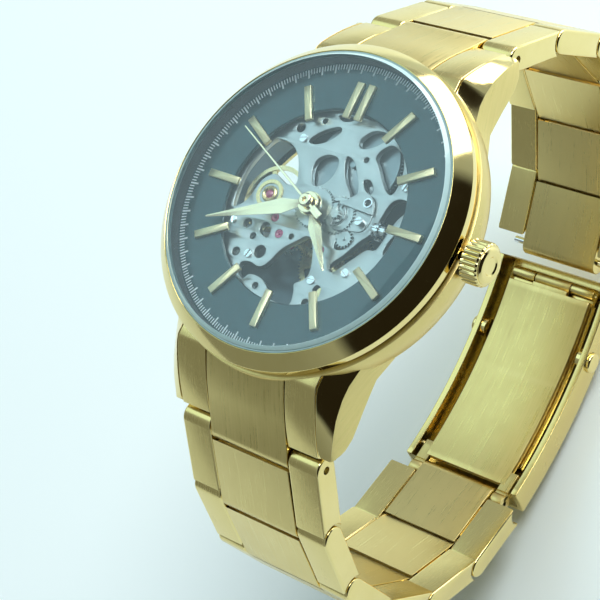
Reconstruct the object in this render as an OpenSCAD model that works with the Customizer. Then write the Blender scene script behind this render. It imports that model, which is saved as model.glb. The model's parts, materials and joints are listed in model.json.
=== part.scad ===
// Skeleton wristwatch: automatic movement seen through an open dial,
// three-part steel case and an H-link bracelet closed by a folding clasp.
// Frame: origin at the middle of the case back's flat face, +Z out through
// the crystal, +Y to 12 o'clock, +X to the crown at 3 o'clock. Millimetres.

/* [Case] */
// Radius of the case barrel
case_r = 21.5; // [21.4:0.1:21.8]
// Height of the case barrel above the case back's flat face
case_top = 7.5; // [7.4:0.05:7.6]
// Radius of the bezel's upright side
bezel_r = 21.2; // [21.0:0.05:21.3]
// Height of the bezel's outer shoulder, where its slope starts
bezel_shoulder = 9.27; // [9.1:0.05:9.5]
// Height of the bezel's inner rim
bezel_top = 10.98; // [10.9:0.02:11.1]
// Radius of the crystal
crystal_r = 19.15; // [19.05:0.05:19.2]
// Thickness of the crystal
crystal_t = 0.9; // [0.8:0.05:1.1]
// Width between the lugs
lug_gap = 22; // [21.9:0.1:22.2]
// How far the lug tips reach from the centre
lug_reach = 26.9; // [26.5:0.1:27.2]
// Radius of the display window in the case back
back_window_r = 13.5; // [13.2:0.1:13.8]

/* [Dial] */
// Radius of the dial
dial_r = 18.9; // [18.8:0.05:18.95]
// Radius of the opening that shows the movement
dial_opening_r = 12.35; // [12.1:0.05:12.6]
// Height of the dial's face above the case back
dial_top = 8.35; // [8.3:0.05:8.4]
// Length of an hour marker
marker_l = 4.7; // [4.3:0.1:4.9]
// Width of an hour marker
marker_w = 0.95; // [0.8:0.05:1.1]

/* [Hands] */
// Hour hand, centre to tip
hour_hand_l = 9.1; // [8.6:0.1:9.6]
// Minute hand, centre to tip
minute_hand_l = 14.3; // [13.5:0.1:14.8]
// Seconds hand, centre to tip
second_hand_l = 15; // [14:0.1:15.6]
// Hour shown
shown_hour = 4.7; // [0:0.1:11.9]
// Minute shown
shown_minute = 41.2; // [0:0.2:59.8]
// Second shown
shown_second = 49.4; // [0:0.2:59.8]

/* [Crown] */
// Radius of the crown
crown_r = 2.65; // [2.4:0.05:2.8]
// Length of the crown's fluted body
crown_l = 2.5; // [2.2:0.1:2.8]
// Number of flutes round the crown
crown_flutes = 24; // [18:1:30]

/* [Movement] */
// Radius of the movement
movement_r = 13; // [12.8:0.05:13.1]
// Teeth on the mainspring barrel
barrel_teeth = 84; // [84:1:84]
// Module of the barrel and centre pinion teeth
barrel_module = 0.14; // [0.138:0.001:0.141]
// Radius of the balance wheel's rim
balance_r = 4.2; // [3.9:0.05:4.3]
// Radius of the rotor
rotor_r = 12.3; // [11.5:0.1:12.4]

/* [Bracelet] */
// Distance between two link pins
link_pitch = 10.6; // [10.5:0.05:10.7]
// Half the thickness of a link
link_half_t = 1.65; // [1.55:0.05:1.7]
// Width of a link's middle block
link_mid_w = 12.3; // [12:0.1:12.4]
// Radius of a link pin
pin_r = 0.53; // [0.45:0.01:0.55]
// Slope of each link at rest, below the horizontal, from the case outwards
link_slopes = [50, 65, 87, 110, 133, 156]; // [40:1:160]

/* [Clasp] */
// Radius of the circle that the closed clasp follows
clasp_r = 60; // [59:0.5:62]
// Width of the clasp cover
clasp_w = 19.6; // [19.4:0.1:20]
// Thickness of each folding blade
blade_t = 0.9; // [0.8:0.05:1]

/* [Hidden] */
$fn = 96;
eps = 0.01;
over = 1;

gold = [0.86, 0.74, 0.47];
bright_gold = [0.93, 0.82, 0.55];
silver = [0.80, 0.82, 0.84];
brass = [0.82, 0.70, 0.42];
ruby = [0.80, 0.25, 0.42];
dark = [0.07, 0.08, 0.10];
glass = [0.75, 0.88, 0.90, 0.35];

// ---- heights of the case and dial stack
back_t = 1.5;
back_ring_r = 18.3;
cavity_r = 18;
neck_r = bezel_bore_r() - 0.02;
bezel_bottom = case_top + 0.25;
dial_t = 0.4;
dial_floor = dial_top - dial_t;
crystal_floor = bezel_top - 0.48;
gasket_floor = crystal_floor - 0.45;
marker_outer_r = 16;
marker_h = 0.5;
crown_axis_z = 6.5;
crown_x = case_r + 0.45;
tube_r = 1.25;
tube_bore_r = 0.8;
stem_r = 0.45;

function bezel_bore_r() = crystal_r + 0.25;

// ---- the arc that the end links and the lugs' inner edges follow, in Y and Z
shoulder_r = 30;
shoulder_c = [3, -17.1];
function shoulder_z(y, r = shoulder_r) =
    shoulder_c[1] + sqrt(r * r - pow(y - shoulder_c[0], 2));
bar_y = 22.9;
bar_z = 2.6;
bar_r = 0.75;
bar_tip_r = 0.5;

// ---- bracelet pins: each is one pitch on from the last, down the link's slope
links_a_side = len(link_slopes);
first_pin = [27.7, -1.8];
function link_pin(n) = n == 0 ? first_pin :
    link_pin(n - 1) + link_pitch *
    [cos(link_slopes[n - 1]), -sin(link_slopes[n - 1])];
last_pin = link_pin(links_a_side);
knuckle_gap = 0.35;
link_groove = 0.15;
pin_fit = 0.02;
pin_run = 0.05;

// ---- clasp circle, its centre line passes through both last pins
clasp_c = last_pin[1] + sqrt(pow(clasp_r, 2) - pow(last_pin[0], 2));
clasp_pin_a = asin(last_pin[0] / clasp_r);
blade_half_w = 7;
inner_blade_r = clasp_r - 1;
outer_blade_r = clasp_r + 0.7;
fold_a = 14;
fold_pin_r = clasp_r + 0.3;
cover_pin_r = clasp_r + 1.2;
cover_r = clasp_r + 2.2;
cover_t = 1.1;
cover_wall = 1;
clasp_pin = 0.4;
button_a = 5;
button_r = 1.5;

// ---- movement layout: hours round the dial, clockwise from 12
function at_hour(r, h) = [r * sin(30 * h), r * cos(30 * h)];
function turn_to(a, b) = atan2(b[1] - a[1], b[0] - a[0]);
centre = [0, 0];
plate_z = 6.5;
plate_t = 0.8;
plate_top = plate_z + plate_t;
bridge_z = 2.75;
bridge_t = 0.5;
centre_pinion_teeth = 12;
centre_teeth = 80;
third_pinion_teeth = 10;
third_teeth = 75;
fourth_pinion_teeth = 10;
fourth_teeth = 84;
escape_pinion_teeth = 7;
escape_teeth = 15;
cannon_teeth = 12;
minute_teeth = 36;
minute_pinion_teeth = 10;
hour_teeth = 40;
setting_teeth = 16;
train_module = 0.12;
motion_module = 0.13;
third_reach = (centre_teeth + third_pinion_teeth) / 2 * train_module;
third_module = 2 * third_reach / (third_teeth + fourth_pinion_teeth);
escape_reach = (fourth_teeth + escape_pinion_teeth) / 2 * train_module;
minute_reach = (cannon_teeth + minute_teeth) / 2 * motion_module;
hour_module = 2 * minute_reach / (minute_pinion_teeth + hour_teeth);
barrel_at = at_hour((barrel_teeth + centre_pinion_teeth) / 2 * barrel_module, 12.5);
third_at = at_hour(third_reach, 4.9);
escape_at = at_hour(escape_reach, 7.3);
balance_at = at_hour(7.2, 9);
minute_at = [minute_reach, 0];
setting_reach = (minute_teeth + setting_teeth) / 2 * motion_module;
setting_at = minute_at + setting_reach * [cos(-46), sin(-46)];
pallet_at = escape_at + 2.3 / norm(balance_at - escape_at) * (balance_at - escape_at);
arbor_r = 0.18;
arbor_low = bridge_z + 0.15;
arbor_high = plate_z + 0.35;

// ---- heights of the hands and the tubes that carry them
hour_hand_z = dial_top + 0.35;
minute_hand_z = dial_top + 0.85;
second_hand_z = dial_top + 1.4;
hand_t = 0.22;
hour_tube_r = 1.2;
cannon_tube_r = 0.9;
centre_arbor_r = 0.55;
seconds_arbor_r = 0.22;

// ================= general shapes

module ring(outer_r, inner_r, z0, z1) {
    translate([0, 0, z0]) difference() {
        cylinder(r = outer_r, h = z1 - z0);
        translate([0, 0, -over]) cylinder(r = inner_r, h = z1 - z0 + 2 * over);
    }
}

module post(at, r, z0, z1) {
    translate([at[0], at[1], z0]) cylinder(r = r, h = z1 - z0, $fn = 32);
}

// A cylinder along X between two X positions, at a place in Y and Z
module x_rod(at, r, x0, x1) {
    translate([x0, at[0], at[1]]) rotate([0, 90, 0])
        cylinder(r = r, h = x1 - x0, $fn = 48);
}

// A slab along X whose outline is given in Y and Z
module x_slab(points, x0, x1) {
    translate([x0, 0, 0]) rotate([90, 0, 90])
        linear_extrude(x1 - x0) polygon(points);
}

function arc(c, r, a0, a1, n = 12) =
    [for (i = [0 : n]) let (a = a0 + (a1 - a0) * i / n) c + r * [cos(a), sin(a)]];

// Tooth outline: a straight-flanked tooth, thinner than its gap
function tooth_points(n, m) = [
    for (i = [0 : n - 1], k = [[-0.24, -1.15], [-0.1, 0.85], [0.1, 0.85], [0.24, -1.15]])
        let (a = (i + k[0]) * 360 / n, r = (n / 2 + k[1]) * m)
        [r * cos(a), r * sin(a)]
];

function sector_points(r0, r1, a0, a1) =
    concat(arc([0, 0], r1, a0, a1, 8), arc([0, 0], r0, a1, a0, 4));

// A toothed wheel that has a tooth centred on the heading given
module toothed(n, m, t, bore, heading) {
    rotate([0, 0, heading]) linear_extrude(t) difference() {
        polygon(tooth_points(n, m));
        circle(r = bore, $fn = 32);
    }
}

// A toothed wheel with windows between its spokes
module spoked(n, m, t, bore, heading, hub, rim, spokes) {
    half = 180 / spokes;
    rotate([0, 0, heading]) linear_extrude(t) difference() {
        polygon(tooth_points(n, m));
        circle(r = bore, $fn = 32);
        for (i = [0 : spokes - 1]) rotate([0, 0, i * 2 * half])
            polygon(sector_points(hub, rim, 12, 2 * half - 12));
    }
}

// Heading of a gear that has a gap facing its mate
function gap_to(from, mate, n) = turn_to(from, mate) + 180 / n;

// ================= case

case_profile = concat(
    [[18.38, 0.6], [18.7, 0.6]],
    arc([15.3, 6.2], 6.2, -60, -3, 10),
    [[case_r, case_top - 0.2], [case_r - 0.2, case_top], [20.6, case_top],
     [20.6, bezel_bottom], [neck_r, bezel_bottom], [neck_r, dial_top],
     [dial_r + 0.05, dial_top], [dial_r + 0.05, dial_floor], [cavity_r, dial_floor],
     [cavity_r, back_t], [18.38, back_t]]);

lug_top = concat(
    [[12, case_top], [19.6, case_top]],
    [for (y = [20.3 : 0.8 : lug_reach]) [y, min(case_top - 0.1, shoulder_z(y))]]);
lug_profile = concat(lug_top,
    arc([lug_reach - 0.85, 0.75], 0.95, 30, -70, 6),
    [[24.6, -0.25], [23, -0.05], [20.8, 0.75], [16.3, 2.4], [12, 3.4]]);
lug_plan = [[lug_gap / 2, 12], [lug_gap / 2, lug_reach + 1], [13.1, lug_reach + 1],
    [13.2, 26.5], [13.6, 23], [14.0, 20], [14.7, 16], [16.2, 12]];
lug_facet_slope = 38;

module lug() {
    intersection() {
        x_slab(lug_profile, 10, 17);
        linear_extrude(20, center = true) polygon(lug_plan);
        translate([lug_gap / 2, 0, 0]) rotate([0, lug_facet_slope, 0])
            translate([-5, 0, 0]) rotate([90, 0, 90]) linear_extrude(14)
                polygon(concat([[10, -14]],
                    [for (p = lug_top) [p[0], p[1] * cos(lug_facet_slope)]],
                    [[lug_reach + 1, 0], [lug_reach + 1, -14]]));
    }
}

module mid_case() {
    color(gold) difference() {
        union() {
            rotate_extrude() polygon(case_profile);
            for (side = [0, 1], end = [0, 1])
                mirror([side, 0, 0]) mirror([0, end, 0]) difference() {
                    lug();
                    translate([0, 0, -5]) cylinder(r = case_r - 1.4, h = 20);
                }
        }
        x_rod([0, crown_axis_z], tube_r + 0.01, 15, 24);
        for (end = [-1, 1])
            x_rod([end * bar_y, bar_z], bar_tip_r + 0.04, -12.2, 12.2);
    }
}

bezel_profile = [
    [bezel_bore_r(), bezel_bottom], [bezel_r - 0.35, bezel_bottom],
    [bezel_r - 0.1, bezel_bottom + 0.1], [bezel_r, bezel_bottom + 0.35],
    [bezel_r, bezel_shoulder - 0.12], [bezel_r - 0.09, bezel_shoulder],
    [bezel_bore_r() + 0.06, bezel_top], [bezel_bore_r(), bezel_top - 0.05]];

module bezel() {
    color(bright_gold) rotate_extrude() polygon(bezel_profile);
}

module crystal() {
    color(glass) rotate_extrude() polygon([
        [0, crystal_floor], [crystal_r, crystal_floor],
        [crystal_r, crystal_floor + crystal_t - 0.4],
        [crystal_r - 0.45, crystal_floor + crystal_t], [0, crystal_floor + crystal_t]]);
}

module crystal_gasket() {
    color(dark) rotate_extrude() polygon([
        [18.7, gasket_floor], [bezel_bore_r() - 0.02, gasket_floor],
        [bezel_bore_r() - 0.02, bezel_top - 0.1], [crystal_r + 0.02, bezel_top - 0.1],
        [crystal_r + 0.02, crystal_floor - 0.01], [18.7, crystal_floor - 0.01]]);
}

module flange_ring() {
    color([0.2, 0.23, 0.26]) rotate_extrude() polygon([
        [18.5, dial_top], [neck_r, dial_top],
        [neck_r, gasket_floor - 0.02], [18.98, gasket_floor - 0.02]]);
}

module dial() {
    color(dark) ring(dial_r, dial_opening_r, dial_floor, dial_top);
}

module marker_bar(offset) {
    translate([offset - marker_w / 2, marker_outer_r - marker_l, 0])
        cube([marker_w, marker_l, marker_h]);
}

// Eleven single bars, and a double bar at 12 o'clock
module hour_markers() {
    color(bright_gold) translate([0, 0, dial_top]) {
        for (h = [1 : 11]) rotate([0, 0, -30 * h]) marker_bar(0);
        for (side = [-1, 1]) marker_bar(side * 0.85);
    }
}

module case_back() {
    notches = 6;
    color(gold) difference() {
        rotate_extrude() polygon([
            [back_window_r + 0.02, 0], [back_ring_r - 0.4, 0],
            [back_ring_r, 0.4], [back_ring_r, back_t], [back_window_r - 0.7, back_t],
            [back_window_r - 0.7, 1.01], [back_window_r + 0.02, 1.01]]);
        for (i = [0 : notches - 1]) rotate([0, 0, i * 360 / notches])
            translate([back_ring_r - 1.5, -1, -over]) cube([3, 2, over + 0.6]);
    }
}

module case_back_glass() {
    color(glass) cylinder(r = back_window_r, h = 1);
}

module case_back_gasket() {
    color(dark) translate([0, 0, back_t + 0.3]) rotate_extrude()
        translate([17.6, 0]) circle(r = 0.3, $fn = 24);
}

module crown_tube() {
    color(gold) difference() {
        x_rod([0, crown_axis_z], tube_r, 18.05, crown_x + 0.8);
        x_rod([0, crown_axis_z], tube_bore_r, 17, 24);
    }
}

// ================= end links and spring bars

end_link_face = concat([[18.2, case_top - 0.06], [19.8, case_top - 0.06]],
    [for (y = [20.4 : 0.8 : 27]) [y, min(case_top - 0.15, shoulder_z(y) - 0.05)]]);
end_link_under = [for (y = [26 : -1 : 19.2])
    [y - 1.2, shoulder_z(y, shoulder_r) - 3.6]];
end_link_profile = concat(end_link_face, [[27.6, -0.2], [26.4, -2.6]], end_link_under);

module end_link() {
    half = link_mid_w / 2;
    outer_x = lug_gap / 2 - 0.05;
    color(gold) difference() {
        union() {
            difference() {
                x_slab(end_link_profile, -outer_x, outer_x);
                x_rod(first_pin, link_half_t + knuckle_gap, -12, 12);
            }
            x_slab(end_link_profile, -half, half);
            x_rod(first_pin, link_half_t, -half, half);
        }
        translate([0, 0, -over]) cylinder(r = case_r + 0.05, h = 12);
        x_rod([bar_y, bar_z], bar_r + 0.04, -12, 12);
        x_rod(first_pin, pin_r + pin_run, -12, 12);
        for (side = [-1, 1])
            translate([side * (half + link_groove / 2), 24, 0]) groove_cut();
    }
}

// A shallow groove between an end link's middle and its outer block
module groove_cut() {
    x_slab([for (k = [[0, 0.3], [0, -1]], y = k[1] > 0 ? [-6 : 0.8 : 2.6] : [2.6 : -0.8 : -6])
        [y, min(case_top + 0.2, shoulder_z(24 + y) + (k[1] > 0 ? 0.4 : -0.4))]],
        -link_groove / 2, link_groove / 2);
}

module end_link_12h() {
    end_link();
}

module end_link_6h() {
    mirror([0, 1, 0]) end_link();
}

module spring_bars() {
    color(silver) for (end = [-1, 1]) {
        x_rod([end * bar_y, bar_z], bar_r, -10.6, 10.6);
        x_rod([end * bar_y, bar_z], bar_tip_r, -12, 12);
    }
}

// ================= bracelet links

// One H-shaped link along +Y from its pin, its outer face up
module link_body(through) {
    half = link_mid_w / 2;
    side_x = lug_gap / 2;
    bore_x = through ? 12 : side_x - 0.8;
    clear_r = link_half_t + knuckle_gap;
    difference() {
        union() {
            for (side = [0, 1]) mirror([side, 0, 0]) {
                x_rod([0, 0], link_half_t, half + link_groove, side_x);
                difference() {
                    translate([half + link_groove, 0, -link_half_t])
                        cube([side_x - half - link_groove, link_pitch, 2 * link_half_t]);
                    x_rod([link_pitch, 0], clear_r, -12, 12);
                }
            }
            difference() {
                translate([-half, 0, -link_half_t])
                    cube([2 * half, link_pitch, 2 * link_half_t]);
                x_rod([0, 0], clear_r, -12, 12);
            }
            x_rod([link_pitch, 0], link_half_t, -half, half);
            translate([-half - over, clear_r + 0.4, -link_half_t + 0.4])
                cube([2 * half + 2 * over, link_pitch - 2 * clear_r - 0.8,
                      2 * link_half_t - 0.8]);
        }
        x_rod([0, 0], pin_r + pin_fit, -side_x + 0.8, bore_x);
        x_rod([link_pitch, 0], pin_r + pin_run, -12, 12);
    }
}

module bracelet_link(n) {
    at = link_pin(n - 1);
    color(gold) translate([0, at[0], at[1]]) rotate([-link_slopes[n - 1], 0, 0]) {
        link_body(n == 1);
        x_rod([0, 0], pin_r, -lug_gap / 2 + 0.9, lug_gap / 2 - 0.9);
    }
}

module link_6h(n) {
    mirror([0, 1, 0]) bracelet_link(n);
}

// The 12 o'clock side ends in the spring bar that the clasp cover sits beside
module link_12h_last() {
    bracelet_link(links_a_side);
    color(silver) x_rod(last_pin, pin_r, -8.4, 8.4);
}

// ================= clasp

// A place on the clasp: distance from its centre and angle from straight down
function on_clasp(r, a) = [r * sin(a), clasp_c - r * cos(a)];

// A plate bent round the clasp circle, from angle a0 to a1, in short flat bends
module clasp_plate(r0, t, x0, x1, a0, a1) {
    bends = max(1, ceil((a1 - a0) / 2.5));
    step = (a1 - a0) / bends;
    x_slab(concat(
        [for (i = [0 : bends]) on_clasp(r0, a0 + i * step)],
        [for (i = [bends : -1 : 0]) on_clasp(r0 + t, a0 + i * step)]), x0, x1);
}

module clasp_inner_blade() {
    at_fold = on_clasp(fold_pin_r, fold_a);
    at_link = on_clasp(clasp_r, -clasp_pin_a);
    ear_x = link_mid_w / 2 + 0.15;
    color(gold) {
        difference() {
            union() {
                clasp_plate(inner_blade_r, blade_t, -blade_half_w, blade_half_w, -16.2, 12.8);
                clasp_plate(inner_blade_r + 0.05, blade_t - 0.1, -3, 3, 12, fold_a);
                x_rod(at_fold, 0.9, -3, 3);
                for (side = [0, 1]) mirror([side, 0, 0]) {
                    clasp_plate(inner_blade_r + 0.05, blade_t - 0.1, ear_x, 8.2,
                                -clasp_pin_a, -14);
                    x_rod(at_link, 1.3, ear_x, 8.2);
                }
            }
            x_rod(at_fold, clasp_pin + pin_fit, -9, 9);
            x_rod(at_link, pin_r + pin_fit, -9, 9);
        }
        x_rod(at_link, pin_r, -8.2, 8.2);
        x_rod(at_fold, clasp_pin, -6.9, 6.9);
    }
}

module clasp_outer_blade() {
    at_fold = on_clasp(fold_pin_r, fold_a);
    at_cover = on_clasp(cover_pin_r, -fold_a);
    color(gold) difference() {
        union() {
            clasp_plate(outer_blade_r, blade_t, -blade_half_w, blade_half_w, -12.4, 12.4);
            clasp_plate(outer_blade_r + 0.05, blade_t - 0.1, -3, 3, -fold_a, -12);
            x_rod(at_cover, 0.8, -3, 3);
            for (side = [0, 1]) mirror([side, 0, 0]) {
                clasp_plate(fold_pin_r, 0.8, 3.2, blade_half_w, 12, fold_a);
                x_rod(at_fold, 0.9, 3.2, blade_half_w);
            }
        }
        x_rod(at_fold, clasp_pin + pin_run, -9, 9);
        x_rod(at_cover, clasp_pin + pin_run, -9, 9);
        translate([-1.6, -6, clasp_c - outer_blade_r - 3]) cube([3.2, 12, 6]);
    }
}

module clasp_cover() {
    side_x = clasp_w / 2;
    inner_x = side_x - cover_wall;
    wall_r = inner_blade_r - 0.4;
    at_cover = on_clasp(cover_pin_r, -fold_a);
    color(gold) {
        difference() {
            clasp_plate(wall_r, cover_r + cover_t - wall_r, -side_x, side_x, -17.2, 15.9);
            clasp_plate(wall_r - 1, cover_r - wall_r + 1, -inner_x, inner_x, -20, 20);
            x_rod(on_clasp(clasp_r + 0.4, button_a), button_r + pin_run, -12, 12);
            x_rod(at_cover, clasp_pin + pin_fit, -9.5, 9.5);
        }
        x_rod(at_cover, clasp_pin, -9.4, 9.4);
    }
}

module clasp_button() {
    x_rod(on_clasp(clasp_r + 0.4, button_a), button_r, 8, clasp_w / 2 + 0.7);
}

module clasp_button_right() {
    color(gold) clasp_button();
}

module clasp_button_left() {
    color(gold) mirror([1, 0, 0]) clasp_button();
}

// ================= movement, fixed pieces

module movement_ring() {
    color(silver) difference() {
        ring(cavity_r - 0.1, movement_r + 0.03, 2.3, dial_floor - 0.03);
        x_rod([0, crown_axis_z], tube_r + 0.2, 10, 20);
    }
}

// Openings in the plate: hours round the dial, distance out, radius
plate_windows = [
    [11.9, 9.0, 2.3], [12.4, 5.4, 1.6], [1.05, 9.8, 1.5], [1.9, 9.6, 1.7],
    [1.2, 5.8, 1.3], [2.8, 10.4, 1.35], [3.5, 8.7, 1.1], [4.15, 7.4, 1.0],
    [5.75, 6.6, 2.1], [6.25, 9.3, 1.9], [5.6, 9.8, 1.3], [7.1, 9.3, 0.9],
    [7.2, 6.4, 1.1], [7.75, 8.4, 0.75], [7.6, 11.2, 0.6], [8.2, 6.7, 0.9],
    [8.3, 10.3, 0.65], [8.35, 9.0, 0.5], [9.75, 7.9, 1.5], [9.95, 9.9, 1.6],
    [10.5, 8.4, 1.6], [9.5, 10.7, 1.1], [10.9, 11.1, 0.6], [11.1, 5.2, 1.4],
    [9.0, 4.0, 0.6], [4.9, 10.6, 0.7], [6.8, 11.4, 0.6]];

screw_places = [[4.3, 9.7], [0.5, 11.4], [2.35, 7.3], [7.4, 10.3], [9.0, 11.8]];
jewel_places = [third_at, escape_at, pallet_at];
shock_r = 1.05;

module main_plate() {
    color(silver) difference() {
        translate([0, 0, plate_z]) cylinder(r = movement_r, h = plate_t);
        post(centre, centre_arbor_r + 0.06, plate_z - over, plate_top + over);
        for (w = plate_windows)
            post(at_hour(w[1], w[0]), w[2], plate_z - over, plate_top + over);
        for (s = screw_places)
            post(at_hour(s[1], s[0]), 0.32, plate_z - over, plate_top + over);
        for (j = jewel_places)
            post(j, 0.52, plate_z - over, plate_top + over);
        post(balance_at, shock_r + 0.02, plate_z - over, plate_top + over);
        post(barrel_at, 0.5, plate_z - over, plate_top + over);
        x_rod([0, crown_axis_z], stem_r + 0.25, 5.5, 14);
        translate([7.2, -1.5, plate_z - over]) cube([2.9, 3, plate_t + 2 * over]);
        post(minute_at, 0.25, plate_z - over, plate_top + over);
        post(setting_at, 0.25, plate_z - over, plate_top + over);
    }
}

module train_bridge() {
    color(silver) difference() {
        translate([0, 0, bridge_z]) cylinder(r = movement_r - 0.1, h = bridge_t);
        translate([balance_at[0] - 3, balance_at[1], bridge_z - over])
            cylinder(r = balance_r + 3.2, h = bridge_t + 2 * over);
        for (a = [barrel_at, third_at, escape_at])
            post(a, 0.3, bridge_z - over, bridge_z + bridge_t + over);
    }
}

module balance_cock() {
    color(silver) difference() {
        intersection() {
            translate([0, 0, bridge_z]) cylinder(r = movement_r - 0.1, h = bridge_t);
            union() {
                translate([-14, -1.4, bridge_z]) cube([14 + balance_at[0], 2.8, bridge_t]);
                post(balance_at, 1.8, bridge_z, bridge_z + bridge_t);
            }
        }
        post(balance_at, 0.3, bridge_z - over, bridge_z + bridge_t + over);
    }
}

module keyless_plate() {
    z = plate_top + 0.3;
    color(silver) difference() {
        union() {
            post([6.2, 0.9], 2.0, z, z + 0.2);
            post([7.4, 2.0], 1.4, z, z + 0.2);
            post([4.6, 1.6], 1.3, z, z + 0.2);
            post([6.9, -0.4], 1.5, z, z + 0.2);
            post([6.9, 3.6], 0.45, plate_top, z + 0.2);
            post([7.4, 3.0], 0.6, z, z + 0.2);
        }
        post(minute_at, 1.4, z - over, z + over);
        post([6.75, 0.3], 0.55, z - over, z + over);
        post([7.2, 2.3], 0.5, z - over, z + over);
        post(centre, 2.9, z - over, z + over);
    }
}

module jewels() {
    color(ruby) {
        for (j = jewel_places) difference() {
            post(j, 0.5, plate_top - 0.4, plate_top);
            post(j, 0.1, plate_z, plate_top + over);
        }
        post(balance_at, shock_r, plate_top - 0.45, plate_top + 0.35);
        difference() {
            post(balance_at, 0.28, bridge_z, bridge_z + 0.3);
            post(balance_at, 0.1, bridge_z - over, bridge_z + over);
        }
    }
}

module movement_screws() {
    color(bright_gold) for (s = screw_places) difference() {
        union() {
            post(at_hour(s[1], s[0]), 0.3, plate_z + 0.1, plate_top);
            post(at_hour(s[1], s[0]), 0.62, plate_top, plate_top + 0.22);
        }
        translate(concat(at_hour(s[1], s[0]), [plate_top + 0.22]))
            rotate([0, 0, 50 * s[0]]) cube([0.16, 2, 0.2], center = true);
    }
}

module rotor_bearing() {
    color(silver) post(centre, 0.95, 1.5, bridge_z);
}

// ================= crown and winding

module crown() {
    outer_x = crown_x + crown_l;
    flute_r = 0.22;
    color(gold) difference() {
        union() {
            x_rod([0, crown_axis_z], crown_r, crown_x, outer_x);
            x_rod([0, crown_axis_z], crown_r - 0.35, outer_x - eps, outer_x + 0.2);
            x_rod([0, crown_axis_z], crown_r - 0.8, outer_x - eps, outer_x + 0.4);
        }
        for (i = [0 : crown_flutes - 1])
            x_rod([crown_r * cos(i * 360 / crown_flutes),
                   crown_axis_z + crown_r * sin(i * 360 / crown_flutes)],
                  flute_r, crown_x + 0.35, outer_x + over);
        x_rod([0, crown_axis_z], tube_r + 0.08, crown_x - over, crown_x + 1.4);
        x_rod([0, crown_axis_z], stem_r + 0.01, crown_x, crown_x + 2.2);
    }
}

module stem() {
    color(silver) x_rod([0, crown_axis_z], stem_r, 5.9, crown_x + 2.1);
}

module winding_pinion() {
    teeth = 14;
    color(silver) translate([8.3, 0, crown_axis_z]) rotate([0, 90, 0]) {
        toothed(teeth, 0.15, 0.7, stem_r + 0.04, 0);
        difference() {
            cylinder(r = 0.75, h = 1.5, $fn = 32);
            translate([0, 0, -over]) cylinder(r = stem_r + 0.04, h = 4, $fn = 32);
        }
    }
}

module rotor() {
    color(silver) difference() {
        union() {
            rotate([0, 0, 195]) rotate_extrude(angle = 150) polygon([
                [1.6, 1.9], [8.8, 1.9], [9.0, 1.3], [rotor_r, 1.3],
                [rotor_r, 2.5], [8.8, 2.5], [8.6, 2.25], [1.6, 2.25]]);
            ring(2.4, 1.0, 1.8, 2.35);
        }
        for (i = [-2 : 2]) rotate([0, 0, 270 + 25 * i])
            translate([6, 0, 1]) cylinder(r = 0.9, h = 3, $fn = 32);
    }
}

// ================= gear train

module barrel() {
    teeth_r = (barrel_teeth / 2 - 1.2) * barrel_module;
    color(brass) translate([barrel_at[0], barrel_at[1], 0]) {
        difference() {
            union() {
                translate([0, 0, 4.5]) cylinder(r = teeth_r, h = 1.75);
                translate([0, 0, 5.5]) toothed(barrel_teeth, barrel_module, 0.4, 0.5,
                    turn_to(barrel_at, centre));
            }
            translate([0, 0, 4.75]) cylinder(r = teeth_r - 0.35, h = 1.25);
            translate([0, 0, 4]) cylinder(r = 0.42, h = 3, $fn = 32);
        }
        translate([0, 0, 2.9]) cylinder(r = 0.28, h = 1.4, $fn = 32);
    }
    color(silver) translate([barrel_at[0], barrel_at[1], 4.2])
        cylinder(r = 0.4, h = 2.7, $fn = 32);
}

// The coiled mainspring, as rings of strip inside the barrel
module mainspring() {
    coils = 5;
    color([0.45, 0.5, 0.56]) translate([barrel_at[0], barrel_at[1], 4.85])
        for (i = [0 : coils - 1]) difference() {
            cylinder(r = 5.2 - i * 0.45, h = 1.05, $fn = 64);
            translate([0, 0, -over]) cylinder(r = 5.0 - i * 0.45, h = 4, $fn = 64);
        }
}

module centre_wheel() {
    color(brass) difference() {
        union() {
            translate([0, 0, 4.15]) spoked(centre_teeth, train_module, 0.2, 0.3,
                turn_to(centre, third_at), 1.2, 4.1, 5);
            translate([0, 0, 4.45]) toothed(centre_pinion_teeth, barrel_module, 1.6, 0.3,
                gap_to(centre, barrel_at, centre_pinion_teeth));
            ring(centre_arbor_r, 0.3, 4.15, plate_top + 0.2);
        }
        post(centre, seconds_arbor_r + 0.05, 4, 8);
    }
}

module third_wheel() {
    color(brass) translate([third_at[0], third_at[1], 0]) {
        translate([0, 0, 3.75]) spoked(third_teeth, third_module, 0.18, 0.1,
            turn_to(third_at, centre), 1.1, 4.1, 5);
        translate([0, 0, 4.0]) toothed(third_pinion_teeth, train_module, 0.45, 0.1,
            gap_to(third_at, centre, third_pinion_teeth));
        translate([0, 0, arbor_low]) cylinder(r = arbor_r, h = arbor_high - arbor_low, $fn = 32);
    }
}

module fourth_wheel() {
    color(brass) {
        translate([0, 0, 3.4]) spoked(fourth_teeth, train_module, 0.18, 0.1,
            turn_to(centre, escape_at), 1.1, 4.4, 5);
        translate([0, 0, 3.58]) toothed(fourth_pinion_teeth, third_module, 0.42, 0.1,
            gap_to(centre, third_at, fourth_pinion_teeth));
        post(centre, seconds_arbor_r, 3.3, second_hand_z + 0.1);
    }
}

// Club-shaped teeth that all lean one way
function escape_points() = [
    for (i = [0 : escape_teeth - 1], k = [[-0.12, 1.4], [0.1, 1.95], [0.27, 1.88], [0.08, 1.4]])
        let (a = (i + k[0]) * 360 / escape_teeth) k[1] * [cos(a), sin(a)]
];

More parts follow.
